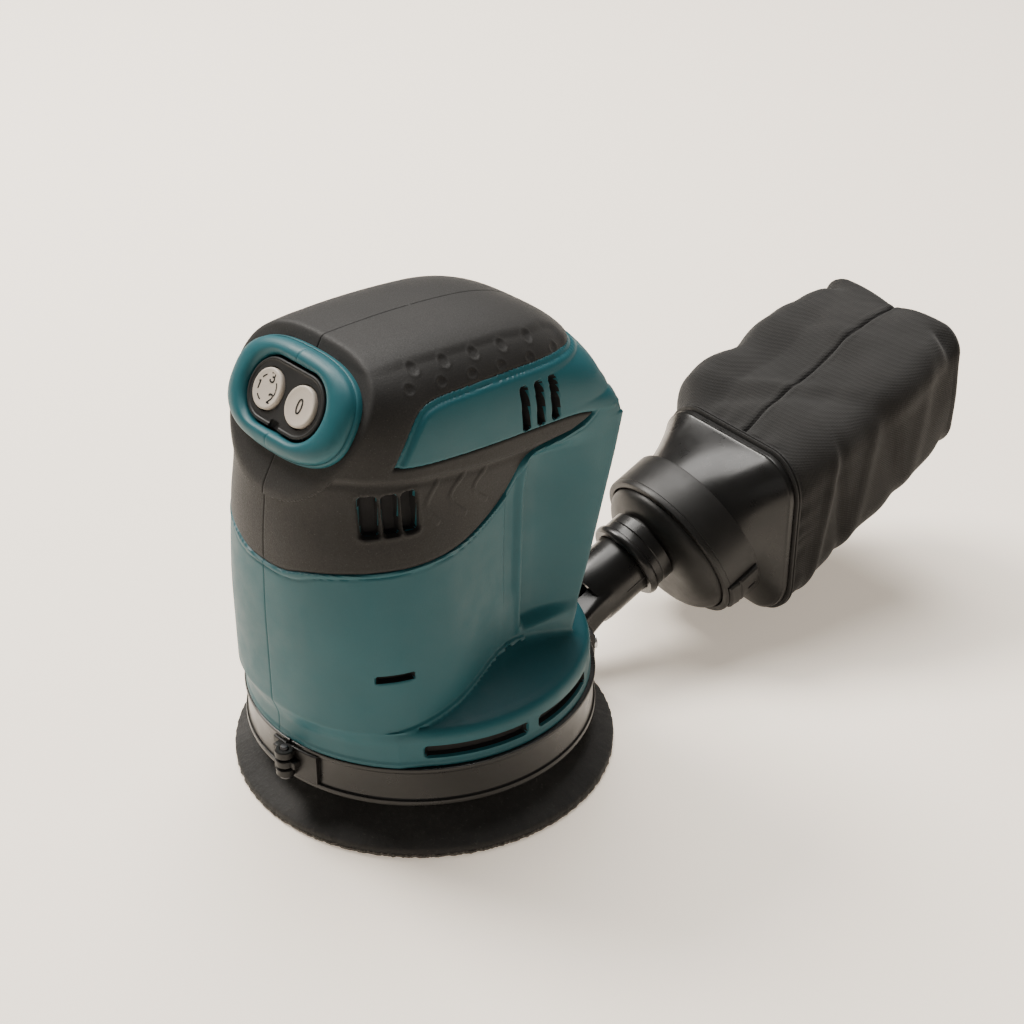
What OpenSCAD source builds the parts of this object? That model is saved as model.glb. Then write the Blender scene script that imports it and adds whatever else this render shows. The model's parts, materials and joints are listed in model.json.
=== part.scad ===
// Random orbit sander, bare tool with its dust bag.
// Origin: centre of the pad's abrasive face. +Z up, -Y to the switch panel, +Y to the dust bag.

/* [Pad] */
// Diameter of the sanding pad
pad_d = 123; // [115:0.5:128]
// Thickness of the hook face that holds the abrasive disc
hook_t = 1.4; // [1:0.1:2]
// Height of the pad's thin outer edge, above the abrasive face
pad_edge_z = 3.6; // [3:0.1:5]
// Height of the foam's flat top, where the backing plate sits
foam_top_z = 11; // [9:0.5:12]
// Diameter of the stiff backing plate
pad_plate_d = 94; // [88:1:95]
// Thickness of the backing plate
pad_plate_t = 2.4; // [2:0.1:3]
// Number of dust holes
dust_holes = 8; // [5:1:10]
// Diameter of one dust hole
dust_hole_d = 10; // [7:0.5:12]
// Diameter of the circle that the dust holes lie on
dust_pcd = 65; // [60:1:72]
// Offset of the pad's axis from the motor's axis, half of the orbit
orbit_r = 1.4; // [0.8:0.1:2]

/* [Housing] */
// Radius of the round skirt around the fan
skirt_r = 54; // [50:0.5:58]
// Height of the skirt's lower edge
skirt_base_z = 28.6; // [26:0.2:32]
// Height of the skirt's shoulder
shoulder_z = 41; // [39:0.5:44]
// Height at which the sloping shelf meets the column's side
shelf_z = 49; // [47:0.5:53]
// Half of the column's width at its widest
column_hw = 41; // [38:0.5:44]
// Half of the column's width at the waist, ahead of the battery flange
waist_hw = 33.5; // [30:0.5:36]
// Half of the battery flange's width
flange_hw = 37.5; // [35:0.5:40]
// Half of the palm grip's width
grip_hw = 36.5; // [33:0.5:39]
// How far the column's front lies ahead of the axis
front_reach = 57; // [54:0.5:60]
// How far the grip's rear lies behind the axis
rear_reach = 51.5; // [48:0.5:56]
// Height of the palm grip's crown
crown_z = 153.4; // [146:0.2:160]
// Lean of the battery flange's rear face
flange_lean = 13.8; // [8:0.2:18]
// Wall of the rigid housing halves
wall = 2.6; // [2:0.1:3.4]
// Thickness of the soft overmould on the housing
skin = 1.6; // [1.2:0.1:2]

/* [Switch panel] */
// Backward lean of the switch panel
face_lean = 31; // [26:0.5:35]
// Width of the panel insert
bezel_w = 33.5; // [30:0.5:36]
// Height of the panel insert
bezel_h = 19.2; // [17:0.2:21]
// Diameter of one push button
button_d = 12; // [10:0.5:13]
// Distance between the two buttons' centres
button_pitch = 15; // [14:0.5:17]
// How far a button travels when it is pressed
button_travel = 1.2; // [0.8:0.1:1.6]

/* [Motor] */
// Outer diameter of the motor can
can_d = 46; // [44:1:47]
// Diameter of the motor shaft
shaft_d = 8; // [8:1:10]
// Diameter of the cooling fan
fan_d = 84; // [70:1:92]
// Number of fan blades
fan_blades = 13; // [9:1:17]
// Running clearance around a turning shaft, on its radius
run_fit = 0.05; // [0.02:0.01:0.09]

/* [Dust outlet and bag] */
// Outer diameter of the nozzle tube
tube_d = 22.6; // [20:0.2:26]
// Wall of the nozzle tube
tube_wall = 2; // [1.6:0.1:2.6]
// Rise of the nozzle above the horizontal
nozzle_rise = 24.1; // [18:0.1:28]
// Turn of the nozzle away from straight back, towards +X
nozzle_yaw = 5; // [0:0.5:10]
// Outer diameter of the bag's round collar
collar_d = 58; // [52:1:62]
// Width of the fabric bag
bag_w = 64; // [56:1:70]
// Length of the fabric bag, along the floor
bag_len = 74; // [60:1:84]
// Thickness of the bag's fabric with its lining
fabric_t = 1.8; // [1.4:0.1:2.4]

/* [Hidden] */
$fn = 48;

// Clearances
fit = 0.3;

// Colours
teal = [0.23, 0.43, 0.46];
rubber = [0.17, 0.17, 0.17];
plastic = [0.12, 0.12, 0.13];
ivory = [0.9, 0.87, 0.81];
steel = [0.7, 0.71, 0.73];
brass = [0.8, 0.65, 0.32];
copper = [0.72, 0.42, 0.24];
dark_steel = [0.32, 0.33, 0.35];
lead_red = [0.7, 0.1, 0.1];
carbon = [0.22, 0.22, 0.24];
cast_alloy = [0.6, 0.61, 0.63];

// ---------------------------------------------------------------- body shape

// Heights of the body's levels
flange_low_z = 40.3;
flange_top_z = 115.5;
dome_z = 116;
waist_y = 12;
widest_y = -22;
ring_steps = 56;
body_low_z = shoulder_z - 5;

function clamp01(t) = min(1, max(0, t));
function ease(t) = let (c = clamp01(t)) c * c * (3 - 2 * c);
function mix(a, b, t) = a + (b - a) * t;

// Y of the column's front and of the grip's rounded rear, at height z
function front_y(z) = -front_reach + 3 * ease((z - 68) / 66);
function rear_y(z) =
    z < dome_z - 0.5 ? rear_reach + 7
    : rear_reach - 14 * pow(clamp01((z - dome_z) / (crown_z - 6.4 - dome_z)), 3);

// Height of the grip's crest line at y, highest ahead of the middle
function crest_z(y) = crown_z - (y > -20 ? 0.0016 : 0.0009) * pow(y + 20, 2);

// Half width of the body at y, before the grip's shoulders round it in
function side_x(y, z) =
    let (
        grip = ease((z - 96) / 26),
        wide = mix(column_hw, grip_hw, ease((z - 62) / 60)),
        waist = mix(waist_hw, grip_hw, grip),
        reach = front_y(z) - widest_y,
        u = clamp01((y - widest_y) / reach)
    )
    y < widest_y ? wide * pow(max(0, 1 - pow(u, 2.3)), 1 / 2.3)
    : y < waist_y ? mix(wide, waist, ease((y - widest_y) / (waist_y - widest_y)))
    : mix(waist, flange_hw, pow(clamp01((y - waist_y) / 36), 1.4));

// Rounding of the grip's rear corners in plan, square at the flange
function corner_power(z) = mix(24, 2.8, ease((z - flange_top_z) / 22));

function shoulder(y, z) =
    z <= dome_z ? 1
    : pow(max(0, 1 - pow(clamp01((z - dome_z) / (crest_z(y) - dome_z)), 2.5)), 1 / 2.5);

function rear_round(y, z) =
    let (u = clamp01((y - waist_y) / (rear_y(z) - waist_y)))
    pow(max(0, 1 - pow(u, corner_power(z))), 1 / corner_power(z));

function in_body(x, y, z) =
    y > front_y(z) && y < rear_y(z)
    && abs(x) < side_x(y, z) * shoulder(y, z) * rear_round(y, z);

// Radius of the body on the ray at angle a from the front, found by halving
function ray_r(a, y0, z, lo, hi, n) =
    n == 0 ? lo
    : let (m = (lo + hi) / 2)
      in_body(m * sin(a), y0 - m * cos(a), z)
      ? ray_r(a, y0, z, m, hi, n - 1)
      : ray_r(a, y0, z, lo, m, n - 1);

// The rays start on a spine that leans forward under the crown
function spine_y(z) = -18 * ease((z - 130) / (crown_z - 134));

levels = concat(
    [for (z = [body_low_z : 12.5 : flange_top_z - 2]) z],
    [flange_top_z - 0.6, dome_z],
    [for (k = [1 : 11]) dome_z + (crown_z - dome_z) * sin(k * 90 / 11.6)]
);

// Closed solid of the body, set in by t from its skin
module body_solid(t) {
    top = crown_z - t;
    stretch = (crown_z - dome_z) / (top - dome_z);
    rings = [for (z = levels)
        let (zs = z <= dome_z ? z : dome_z + (z - dome_z) / stretch)
        [for (i = [0 : ring_steps - 1])
            let (
                a = i * 360 / ring_steps,
                r = max(0.4, ray_r(a, spine_y(z), z, 0, 75, 18) - t)
            )
            [r * sin(a), spine_y(z) - r * cos(a), zs]]];
    last = len(levels) - 1;
    points = concat(
        [for (ring = rings, p = ring) p],
        [[0, 0, levels[0]], [0, spine_y(crown_z), top]]
    );
    low = ring_steps * (last + 1);
    faces = concat(
        [for (k = [0 : last - 1], i = [0 : ring_steps - 1])
            let (j = (i + 1) % ring_steps)
            each [
                [k * ring_steps + i, (k + 1) * ring_steps + i, (k + 1) * ring_steps + j],
                [k * ring_steps + i, (k + 1) * ring_steps + j, k * ring_steps + j]
            ]],
        [for (i = [0 : ring_steps - 1]) [low, i, (i + 1) % ring_steps]],
        [for (i = [0 : ring_steps - 1])
            [low + 1, last * ring_steps + (i + 1) % ring_steps, last * ring_steps + i]]
    );
    polyhedron(points, faces, convexity = 6);
}

// Round skirt with its sloping shelf, set in by t
module skirt_solid(t) {
    rotate_extrude($fn = 96)
        polygon([
            [0, skirt_base_z], [skirt_r - t, skirt_base_z], [skirt_r - t, shoulder_z - 3 - t / 2],
            [skirt_r - 1 - t, shoulder_z - 1 - t], [skirt_r - 3 - t, shoulder_z - t],
            [waist_hw, shelf_z - t], [0, shelf_z - t]
        ]);
}

// Frame on the switch panel: Z out of the panel, Y up along it
panel_y = -46.2;
panel_z = 139.1;
module panel_frame() {
    translate([0, panel_y, panel_z]) rotate([90 - face_lean, 0, 0]) children();
}

// Frame on the flange's rear face: Z out of the face, Y down along it
flange_y = 32.6;
module flange_frame() {
    translate([0, flange_y, flange_low_z]) rotate([-90 - flange_lean, 0, 0]) children();
}

// Everything behind the switch panel and ahead of the flange's rear face, both set in by t
module between_faces(t) {
    intersection() {
        children();
        panel_frame() translate([-90, -150, -150 - t]) cube([180, 300, 150]);
        flange_frame() translate([-90, -150, -150 - t]) cube([180, 300, 150]);
    }
}

module body_outside(t) {
    between_faces(t) body_solid(t);
    skirt_solid(t);
}

// Battery bay: a pocket in the flange's rear face, open at the top
bay_w = 64;
bay_depth = 9;
bay_low = -7;
module bay_pocket(grow) {
    flange_frame()
        translate([-bay_w / 2 - grow, -110, -bay_depth - grow])
            cube([bay_w + 2 * grow, 110 + bay_low + grow, bay_depth + grow + 40]);
}

module housing_cavity() {
    difference() {
        between_faces(wall + skin) body_solid(wall + skin);
        bay_pocket(wall);
    }
    translate([0, 0, -1]) skirt_solid(wall);
}

// Stadium outline, w wide and h high over all
module stadium(w, h) {
    hull() {
        translate([-(w - h) / 2, 0]) circle(d = h);
        translate([(w - h) / 2, 0]) circle(d = h);
    }
}

// Area of the soft overmould in the side view, as Y and Z
overmould_low_z = 89.6;
module overmould_outline() {
    difference() {
        polygon([
            [-70, overmould_low_z], [-57, overmould_low_z], [-54, overmould_low_z + 3.4],
            [-48, overmould_low_z + 5], [-29, overmould_low_z + 5], [-14, overmould_low_z + 5.4],
            [0, overmould_low_z + 9], [8, overmould_low_z + 14.4], [11, overmould_low_z + 20.4],
            [14, overmould_low_z + 23.4], [31, overmould_low_z + 25.8], [38, overmould_low_z + 29.4],
            [35.4, 138.9], [70, 135], [70, 170], [-70, 170]
        ]);
        polygon([
            [-34.8, 125.9], [-28, 136], [-23.6, 140.2], [-17, 141.4], [36, 139.4], [38.2, 119],
            [19, 121.2], [-3, 122.2], [-20, 123.8]
        ]);
    }
}

module overmould_zone() {
    difference() {
        rotate([90, 0, 90]) linear_extrude(200, center = true) overmould_outline();
        panel_frame() translate([-60, -60, -5.6]) cube([120, 120, 60]);
    }
}

// One slot through the side wall: a rounded upright bar, w wide and h tall
module side_slot(y, z, w, h) {
    hull()
        for (k = [-1, 1])
            translate([20, y, z + k * (h - w) / 2]) rotate([0, 90, 0]) cylinder(h = 30, d = w, $fn = 12);
}

slot_pitch = 5.6;
grip_slot_at = [12.1, 128.9];
column_slot_at = [-41.7, 111.8];
module grip_slots() {
    for (k = [0 : 2]) side_slot(grip_slot_at[0] + k * slot_pitch, grip_slot_at[1], 2.5, 12.6);
}
module column_slots(grow) {
    for (k = [0 : 2])
        side_slot(column_slot_at[0] + k * slot_pitch, column_slot_at[1], 4.6 + 2 * grow, 12 + 2 * grow);
}

// Curved slot through the skirt between two angles from the front
module skirt_slot(a0, a1) {
    steps = 4;
    for (k = [0 : steps - 1])
        hull()
            for (j = [k, k + 1])
                rotate([0, 0, mix(a0, a1, j / steps)])
                    translate([0, -skirt_r - 4, shoulder_z - 7.6])
                        rotate([-90, 0, 0]) cylinder(h = 10, d = 3.8, $fn = 8);
}

module dash_vent() {
    hull()
        for (a = [38, 49])
            rotate([0, 0, a]) translate([0, -64, 60]) rotate([-90, 0, 0]) cylinder(h = 16, d = 2, $fn = 8);
}

// Screw bosses across the seam, as Y and Z
boss_at = [[-46, 66], [-43, 104], [35, 134], [-20, 142.6]];
boss_d = 8.4;
screw_d = 3.6;
screw_head_d = 6.6;
screw_len = 26;

// Screw holes: clearance and head recess on the left, thread on the right
module screw_holes() {
    for (b = boss_at)
        translate([0, b[0], b[1]]) rotate([0, 90, 0]) {
            translate([0, 0, -screw_len / 2 - 0.1])
                cylinder(h = screw_len + 0.2, d = screw_d + 0.12, $fn = 16);
            translate([0, 0, -screw_len / 2 - 60])
                cylinder(h = 60, d = screw_head_d + 2 * fit, $fn = 16);
        }
}

// Horizontal rib across the housing with a round opening
module housing_rib(z, opening) {
    difference() {
        intersection() {
            translate([-80, -80, z]) cube([160, 160, 2]);
            body_outside(wall / 2 + skin);
        }
        translate([0, 0, z - 1]) cylinder(h = 4, d = opening, $fn = 64);
        bay_pocket(wall / 2);
    }
}

// Whole rigid housing before it is split
module housing_whole() {
    difference() {
        body_outside(0);
        housing_cavity();
        bay_pocket(0);
        intersection() {
            overmould_zone();
            difference() {
                translate([-100, -100, 60]) cube([200, 200, 120]);
                between_faces(skin) body_solid(skin);
            }
        }
        panel_frame() translate([0, 0, -20]) linear_extrude(40) stadium(bezel_w + 0.8, bezel_h + 0.8);
    }
    housing_rib(can_low_z + 4, can_d + 2 * fit);
    housing_rib(can_top_z - 8, can_d + 2 * fit);
    housing_rib(module_at[2] - 2, bearing_d + 12);
}

module housing_half(side) {
    color(teal) difference() {
        union() {
            intersection() {
                housing_whole();
                translate([side > 0 ? 0 : -120, -120, 0]) cube([120, 240, 220]);
            }
            housing_bosses(side);
        }
        scale([side, 1, 1]) {
            grip_slots();
            column_slots(-0.4);
            skirt_slot(52, 87);
            skirt_slot(92, 121);
            dash_vent();
        }
        screw_holes();
        lead_window();
    }
}

module housing_left() housing_half(-1);
module housing_right() housing_half(1);

// Window in the bay's wall where the power leads pass
module lead_window() {
    translate([-12, 36, lead_z - 3.5]) cube([24, 14, 7]);
}

// Bosses run from the seam to the side wall
module housing_bosses(side) {
    difference() {
        intersection() {
            for (b = boss_at)
                translate([0, b[0], b[1]]) rotate([0, side * 90, 0]) cylinder(h = 60, d = boss_d, $fn = 16);
            body_solid(wall / 2 + skin);
        }
        bay_pocket(wall / 2);
        panel_frame() translate([-60, -60, -14]) cube([120, 120, 60]);
    }
}

module overmould_half(side) {
    color(rubber) difference() {
        intersection() {
            between_faces(0) body_solid(0);
            overmould_zone();
            translate([side > 0 ? 0 : -120, -120, 0]) cube([120, 240, 220]);
        }
        between_faces(skin) body_solid(skin);
        bay_pocket(0);
        scale([side, 1, 1]) {
            column_slots(0);
            grip_dimples();
        }
    }
}

// Two rows of small grip dimples above the side panel
module grip_dimples() {
    for (k = [0 : 4], row = [0, 1])
        hull()
            for (depth = [0, 1])
                translate([22 + depth * 20, -12 + k * 7 + row * 3.5, 143.4 + row * 4 - depth * 0.01])
                    rotate([0, 90, 0]) cylinder(h = 0.1, d = 2.2, $fn = 6);
}

module overmould_left() overmould_half(-1);
module overmould_right() overmould_half(1);

module housing_screws() {
    color(steel)
        for (b = boss_at)
            translate([-screw_len / 2, b[0], b[1]]) rotate([0, 90, 0]) {
                cylinder(h = screw_len, d = screw_d);
                translate([0, 0, -2.4]) difference() {
                    cylinder(h = 2.4, d = screw_head_d);
                    translate([0, 0, -0.1]) cylinder(h = 1.4, d = 3, $fn = 6);
                }
            }
}

// ---------------------------------------------------------------- switch panel

bezel_top = -1.2;
bezel_t = 3;
button_top = bezel_top + 0.9;
button_h = 5;

module switch_bezel() {
    color(plastic) panel_frame() difference() {
        union() {
            translate([0, 0, bezel_top - bezel_t]) linear_extrude(bezel_t) stadium(bezel_w, bezel_h);
            translate([0, 0, bezel_top - bezel_t - 3]) linear_extrude(3.01) stadium(bezel_w - 2, bezel_h - 2);
        }
        for (side = [-1, 1])
            translate([side * button_pitch / 2, 0, bezel_top - 8]) cylinder(h = 10, d = button_d + 2 * fit);
        translate([0, -bezel_h / 2, bezel_top - 0.9]) cylinder(h = 2, d = 3.4);
        for (side = [-1, 1])
            translate([side * button_pitch / 2, 0, bezel_top - bezel_t - 3.1])
                cylinder(h = 3.1, d = button_d + 2.6);
    }
}

module push_button(side) {
    color(ivory) panel_frame() translate([side * button_pitch / 2, 0, button_top - button_h]) {
        cylinder(h = button_h, d = button_d);
        cylinder(h = 1, d = button_d + 1.6);
        translate([0, 0, -1.6]) cylinder(h = 1.7, d = 4);
    }
}
module speed_button() push_button(-1);
module stop_button() push_button(1);

board_top = button_top - button_h - 1.6 - button_travel - fit;
module switch_board() {
    panel_frame() {
        color([0.1, 0.35, 0.2]) translate([0, 0, board_top - 3.6])
            linear_extrude(1.6) stadium(bezel_w - 3, bezel_h - 2.6);
        color(plastic) for (side = [-1, 1])
            translate([side * button_pitch / 2 - 3, -3, board_top - 2]) cube([6, 6, 2]);
        color(plastic) difference() {
            translate([0, 0, board_top - 2])
                linear_extrude(bezel_top - bezel_t - 3 - board_top + 2) stadium(bezel_w - 3, bezel_h - 2.6);
            translate([0, 0, board_top - 3]) linear_extrude(20) stadium(bezel_w - 4.6, bezel_h - 4.2);
        }
    }
}

// ---------------------------------------------------------------- power

module_size = [40, 42, 15];
module_at = [0, 4, 121];
module control_module() {
    color([0.2, 0.2, 0.22]) translate(module_at - [module_size[0] / 2, module_size[1] / 2, 0]) difference() {
        cube(module_size);
        translate([2, 2, module_size[2] - 3]) cube([module_size[0] - 4, module_size[1] - 4, 4]);
    }
}

rail_gap = 46;
rail_h = 6.4;
holder_len = 66;
module battery_holder() {
    color(plastic) flange_frame() translate([0, bay_low - holder_len - 1, -bay_depth]) {
        translate([-bay_w / 2 + 0.2, 0, 0]) cube([bay_w - 0.4, holder_len, 2.4]);
        for (side = [-1, 1]) {
            translate([side * (rail_gap / 2 + 1.5) - 1.5, 4, 2.3]) cube([3, holder_len - 8, rail_h]);
            translate([side * (rail_gap / 2 - 0.7) - 3.7 / 2, 4, 2.3 + rail_h - 2])
                cube([3.7, holder_len - 8, 2]);
        }
        difference() {
            translate([-15, holder_len - 30, 2.3]) cube([30, 22, rail_h]);
            for (x = [-10, 0, 10])
                translate([x - 0.8, holder_len - 31, 3.4]) cube([1.6, 18, rail_h]);
        }
    }
}

module battery_terminals() {
    color(brass) flange_frame() translate([0, bay_low - holder_len - 1, -bay_depth])
        for (x = [-10, 0, 10])
            translate([x - 0.4, holder_len - 28, 3.4]) cube([0.8, 14, rail_h - 1.6]);
}

// Two leads from the control module to the battery holder's front
lead_d = 2.6;
lead_z = 125;
module power_leads() {
    lead_y = module_at[1] + module_size[1] / 2;
    holder_y = flange_y + (lead_z - flange_low_z) * tan(flange_lean) - bay_depth / cos(flange_lean);
    for (side = [-1, 1])
        color(side < 0 ? rubber : lead_red)
            translate([side * 8, lead_y, lead_z]) rotate([-90, 0, 0])
                cylinder(h = holder_y - lead_y - 1, d = lead_d);
}

// ---------------------------------------------------------------- motor

can_low_z = 56;
can_top_z = 92;
cap_top_z = 107;
core_low_z = 63;
core_top_z = 84;
core_d = can_d - 10.6;
commutator_d = 21;
bearing_d = 22;
bearing_w = 7;
top_bearing_z = 108.4;
low_bearing_z = 46;
shaft_low_z = 25.2;

module motor_can() {
    color(steel) difference() {
        translate([0, 0, can_low_z]) cylinder(h = can_top_z - can_low_z, d = can_d);
        translate([0, 0, can_low_z - 1]) cylinder(h = can_top_z - can_low_z + 2, d = can_d - 4);
    }
}

module motor_magnets() {
    color(carbon)
        for (k = [0 : 3])
            rotate([0, 0, k * 90 + 12]) translate([0, 0, core_low_z - 2])
                rotate_extrude(angle = 66) translate([core_d / 2 + 0.6, 0])
                    square([(can_d - 4 - core_d) / 2 - 0.65, core_top_z - core_low_z + 4]);
}

module armature_core() {
    color(dark_steel) difference() {
        translate([0, 0, core_low_z]) cylinder(h = core_top_z - core_low_z, d = core_d);
        translate([0, 0, core_low_z - 1]) cylinder(h = core_top_z - core_low_z + 2, d = shaft_d);
        for (k = [0 : 11])
            rotate([0, 0, k * 30]) translate([core_d / 2 - 3, -1, core_low_z - 1])
                cube([4, 2, core_top_z - core_low_z + 2]);
    }
}

module armature_windings() {
    color(copper)
        for (z = [core_low_z, core_top_z])
            translate([0, 0, z]) mirror([0, 0, z == core_low_z ? 1 : 0])
                rotate_extrude()
                    polygon([[shaft_d / 2 + 2, 0], [core_d / 2 - 3.4, 0], [core_d / 2 - 4, 3.4],
                        [core_d / 2 - 7, 5], [shaft_d / 2 + 2, 4]]);
}

module commutator() {
    color(copper) difference() {
        translate([0, 0, core_top_z + 5.4]) cylinder(h = 12, d = commutator_d);
        translate([0, 0, core_top_z + 4]) cylinder(h = 15, d = shaft_d);
        for (k = [0 : 11])
            rotate([0, 0, k * 30 + 15])
                translate([commutator_d / 2 - 1, -0.3, core_top_z + 4]) cube([2, 0.6, 15]);
    }
}

module brush_cap() {
    color(plastic) difference() {
        union() {
            translate([0, 0, can_top_z]) cylinder(h = cap_top_z - can_top_z, d = can_d);
            translate([0, 0, cap_top_z - 0.1])
                cylinder(h = top_bearing_z + bearing_w - cap_top_z + 0.1, d = bearing_d + 5);
        }
        translate([0, 0, can_top_z - 1]) cylinder(h = cap_top_z - can_top_z - 1.6, d = can_d - 5);
        translate([0, 0, can_top_z - 1]) cylinder(h = 40, d = shaft_d + 4);
        translate([0, 0, top_bearing_z]) cylinder(h = 20, d = bearing_d);
    }
    color(brass)
        for (side = [-1, 1])
            translate([side > 0 ? commutator_d / 2 + 2 : -can_d / 2 + 2.4, -4, can_top_z]) difference() {
                cube([can_d / 2 - commutator_d / 2 - 4.4, 8, 9]);
                translate([-1, 1, 1]) cube([can_d, 6, 7]);
            }
}

brush_size = [9, 5.8, 6.8];
module carbon_brushes() {
    color(carbon)
        for (side = [-1, 1])
            translate([side > 0 ? commutator_d / 2 + fit : -commutator_d / 2 - fit - brush_size[0],
                -brush_size[1] / 2, can_top_z + 1.1])
                cube(brush_size);
}

module motor_shaft() {
    color(steel) translate([0, 0, shaft_low_z])
        cylinder(h = top_bearing_z + bearing_w + 1 - shaft_low_z, d = shaft_d);
}

// Ball bearing with two races, shields and a running bore
module ball_bearing(bore, outer, width) {
    difference() {
        cylinder(h = width, d = outer);
        translate([0, 0, -1]) cylinder(h = width + 2, d = bore);
        for (z = [-0.1, width - 0.4])
            translate([0, 0, z]) difference() {
                cylinder(h = 0.5, d = outer - 3);
                translate([0, 0, -1]) cylinder(h = 3, d = bore + 3);
            }
    }
}

module upper_bearing() {
    color(steel) translate([0, 0, top_bearing_z])
        ball_bearing(shaft_d + 2 * run_fit, bearing_d, bearing_w);
}
module lower_bearing() {
    color(steel) translate([0, 0, low_bearing_z])
        ball_bearing(shaft_d + 2 * run_fit, bearing_d, bearing_w);
}

module bearing_bracket() {
    color(cast_alloy) difference() {
        union() {
            translate([0, 0, can_low_z - 3]) cylinder(h = 3, d = can_d);
            translate([0, 0, low_bearing_z]) cylinder(h = can_low_z - low_bearing_z - 1, d = bearing_d + 6);
        }
        translate([0, 0, low_bearing_z - 1]) cylinder(h = bearing_w + 1, d = bearing_d);
        translate([0, 0, low_bearing_z]) cylinder(h = 20, d = shaft_d + 6);
        for (k = [0 : 5])
            rotate([0, 0, k * 60]) translate([can_d / 2 - 4.6, 0, can_low_z - 4]) cylinder(h = 6, d = 5);
    }
}

fan_low_z = 32;
fan_h = 12;
module cooling_fan() {
    color(plastic) {
        difference() {
            union() {
                translate([0, 0, fan_low_z]) cylinder(h = 2, d = fan_d);
                translate([0, 0, fan_low_z]) cylinder(h = fan_h, d = shaft_d + 10);
            }
            translate([0, 0, fan_low_z - 1]) cylinder(h = fan_h + 2, d = shaft_d);
        }
        for (k = [0 : fan_blades - 1])
            rotate([0, 0, k * 360 / fan_blades]) translate([24, -7, fan_low_z + 1.9])
                rotate([0, 0, 24]) cube([fan_d / 2 - 25.5, 1.6, fan_h - 3.9]);
    }
}

// Disc between the cooling fan and the dust chamber, held by the skirt
baffle_z = skirt_base_z;
module baffle_plate() {
    color(plastic) translate([0, 0, baffle_z]) difference() {
        cylinder(h = 1.8, d = 2 * (skirt_r - wall) - 0.4);
        translate([0, 0, -1]) cylinder(h = 4, d = 30);
    }
}

// ---------------------------------------------------------------- orbit drive

pad_bearing_d = 28;
pad_bearing_bore = 12;
pad_bearing_w = 8;
pad_bearing_z = 16.2;
hub_top_z = baffle_z - 0.8;
hub_low_z = pad_bearing_z - 1.6;
weight_r = 32;
weight_cut = 10.5;

module eccentric_hub() {
    color(cast_alloy) difference() {
        union() {
            translate([orbit_r, 0, hub_low_z]) cylinder(h = pad_bearing_w + 2.6, d = pad_bearing_d + 6);
            translate([0, 0, pad_bearing_z + pad_bearing_w])
                cylinder(h = fan_low_z - pad_bearing_z - pad_bearing_w, d = 20);
            intersection() {
                translate([0, 0, pad_bearing_z]) cylinder(h = hub_top_z - pad_bearing_z, r = weight_r);
                translate([-weight_r - 1, -weight_r, pad_bearing_z])
                    cube([weight_r + 1 - weight_cut, 2 * weight_r, hub_top_z - pad_bearing_z]);
            }
        }
        translate([orbit_r, 0, hub_low_z - 1])
            cylinder(h = pad_bearing_z + pad_bearing_w - hub_low_z + 1, d = pad_bearing_d);
        translate([0, 0, shaft_low_z]) cylinder(h = 20, d = shaft_d);
        translate([orbit_r, 0, hub_low_z]) cylinder(h = pad_bearing_w + 2, d = pad_bearing_bore + 4);
    }
}

module pad_bearing() {
    color(steel) translate([orbit_r, 0, pad_bearing_z])
        ball_bearing(pad_bearing_bore, pad_bearing_d, pad_bearing_w);
}

module bearing_circlip() {
    color(dark_steel) translate([orbit_r, 0, pad_bearing_z - 1.2]) difference() {
        cylinder(h = 1.2, d = pad_bearing_d);
        translate([0, 0, -1]) cylinder(h = 4, d = pad_bearing_d - 5);
        translate([0, -2.5, -1]) cube([20, 5, 4]);
    }
}

// ---------------------------------------------------------------- shroud band

band_r = skirt_r + 1.2;
band_low_z = 15;
band_wall = 2.2;
duct_w = 24;
duct_low_z = 18;
duct_top_z = 26;

// Opening for the dust duct, through the band's rear
module duct_cut(y0, y1) {
    rotate([0, 0, -nozzle_yaw])
        translate([-duct_w / 2, y0, duct_low_z]) cube([duct_w, y1 - y0, duct_top_z - duct_low_z]);
}

module shroud_band() {
    color(plastic) difference() {
        rotate_extrude($fn = 96)
            polygon([
                [band_r - band_wall, band_low_z], [band_r + 0.8, band_low_z],
                [band_r + 0.8, band_low_z + 1.8],
                [band_r, band_low_z + 2.6], [band_r, skirt_base_z - 1.4], [band_r + 0.6, skirt_base_z - 0.8],
                [band_r + 0.6, skirt_base_z], [band_r - band_wall, skirt_base_z]
            ]);
        duct_cut(40, 60);
        rotate([0, 0, clamp_angle]) translate([-0.6, -70, 0]) cube([1.2, 30, 60]);
    }
}

// Hinged clamp across the band's split: three knuckles on one pin
clamp_angle = 6;
knuckle_d = 6;
pin_d = 2.6;
knuckle_z = [band_low_z + 2.8, band_low_z + 6, band_low_z + 9.2];
knuckle_h = 2.9;
module clamp_frame() {
    rotate([0, 0, clamp_angle]) translate([0, -band_r - knuckle_d / 2 - 0.2, 0]) children();
}
module band_clamp() {
    color(plastic) clamp_frame() difference() {
        union() {
            for (z = knuckle_z) translate([0, 0, z]) cylinder(h = knuckle_h, d = knuckle_d);
            for (z = [knuckle_z[0], knuckle_z[2]])
                translate([-7, -1, z]) cube([6, knuckle_d / 2 + 1, knuckle_h]);
            translate([1, -1, knuckle_z[1]]) cube([9, knuckle_d / 2 + 1, knuckle_h]);
        }
        translate([0, 0, band_low_z - 1]) cylinder(h = 20, d = pin_d);
    }
}
module clamp_pin() {
    color(dark_steel) clamp_frame() translate([0, 0, knuckle_z[0] - 0.6]) {
        cylinder(h = knuckle_z[2] + knuckle_h - knuckle_z[0] + 1, d = pin_d);
        translate([0, 0, -0.8]) cylinder(h = 0.8, d = pin_d + 1.6);
    }
}

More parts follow.
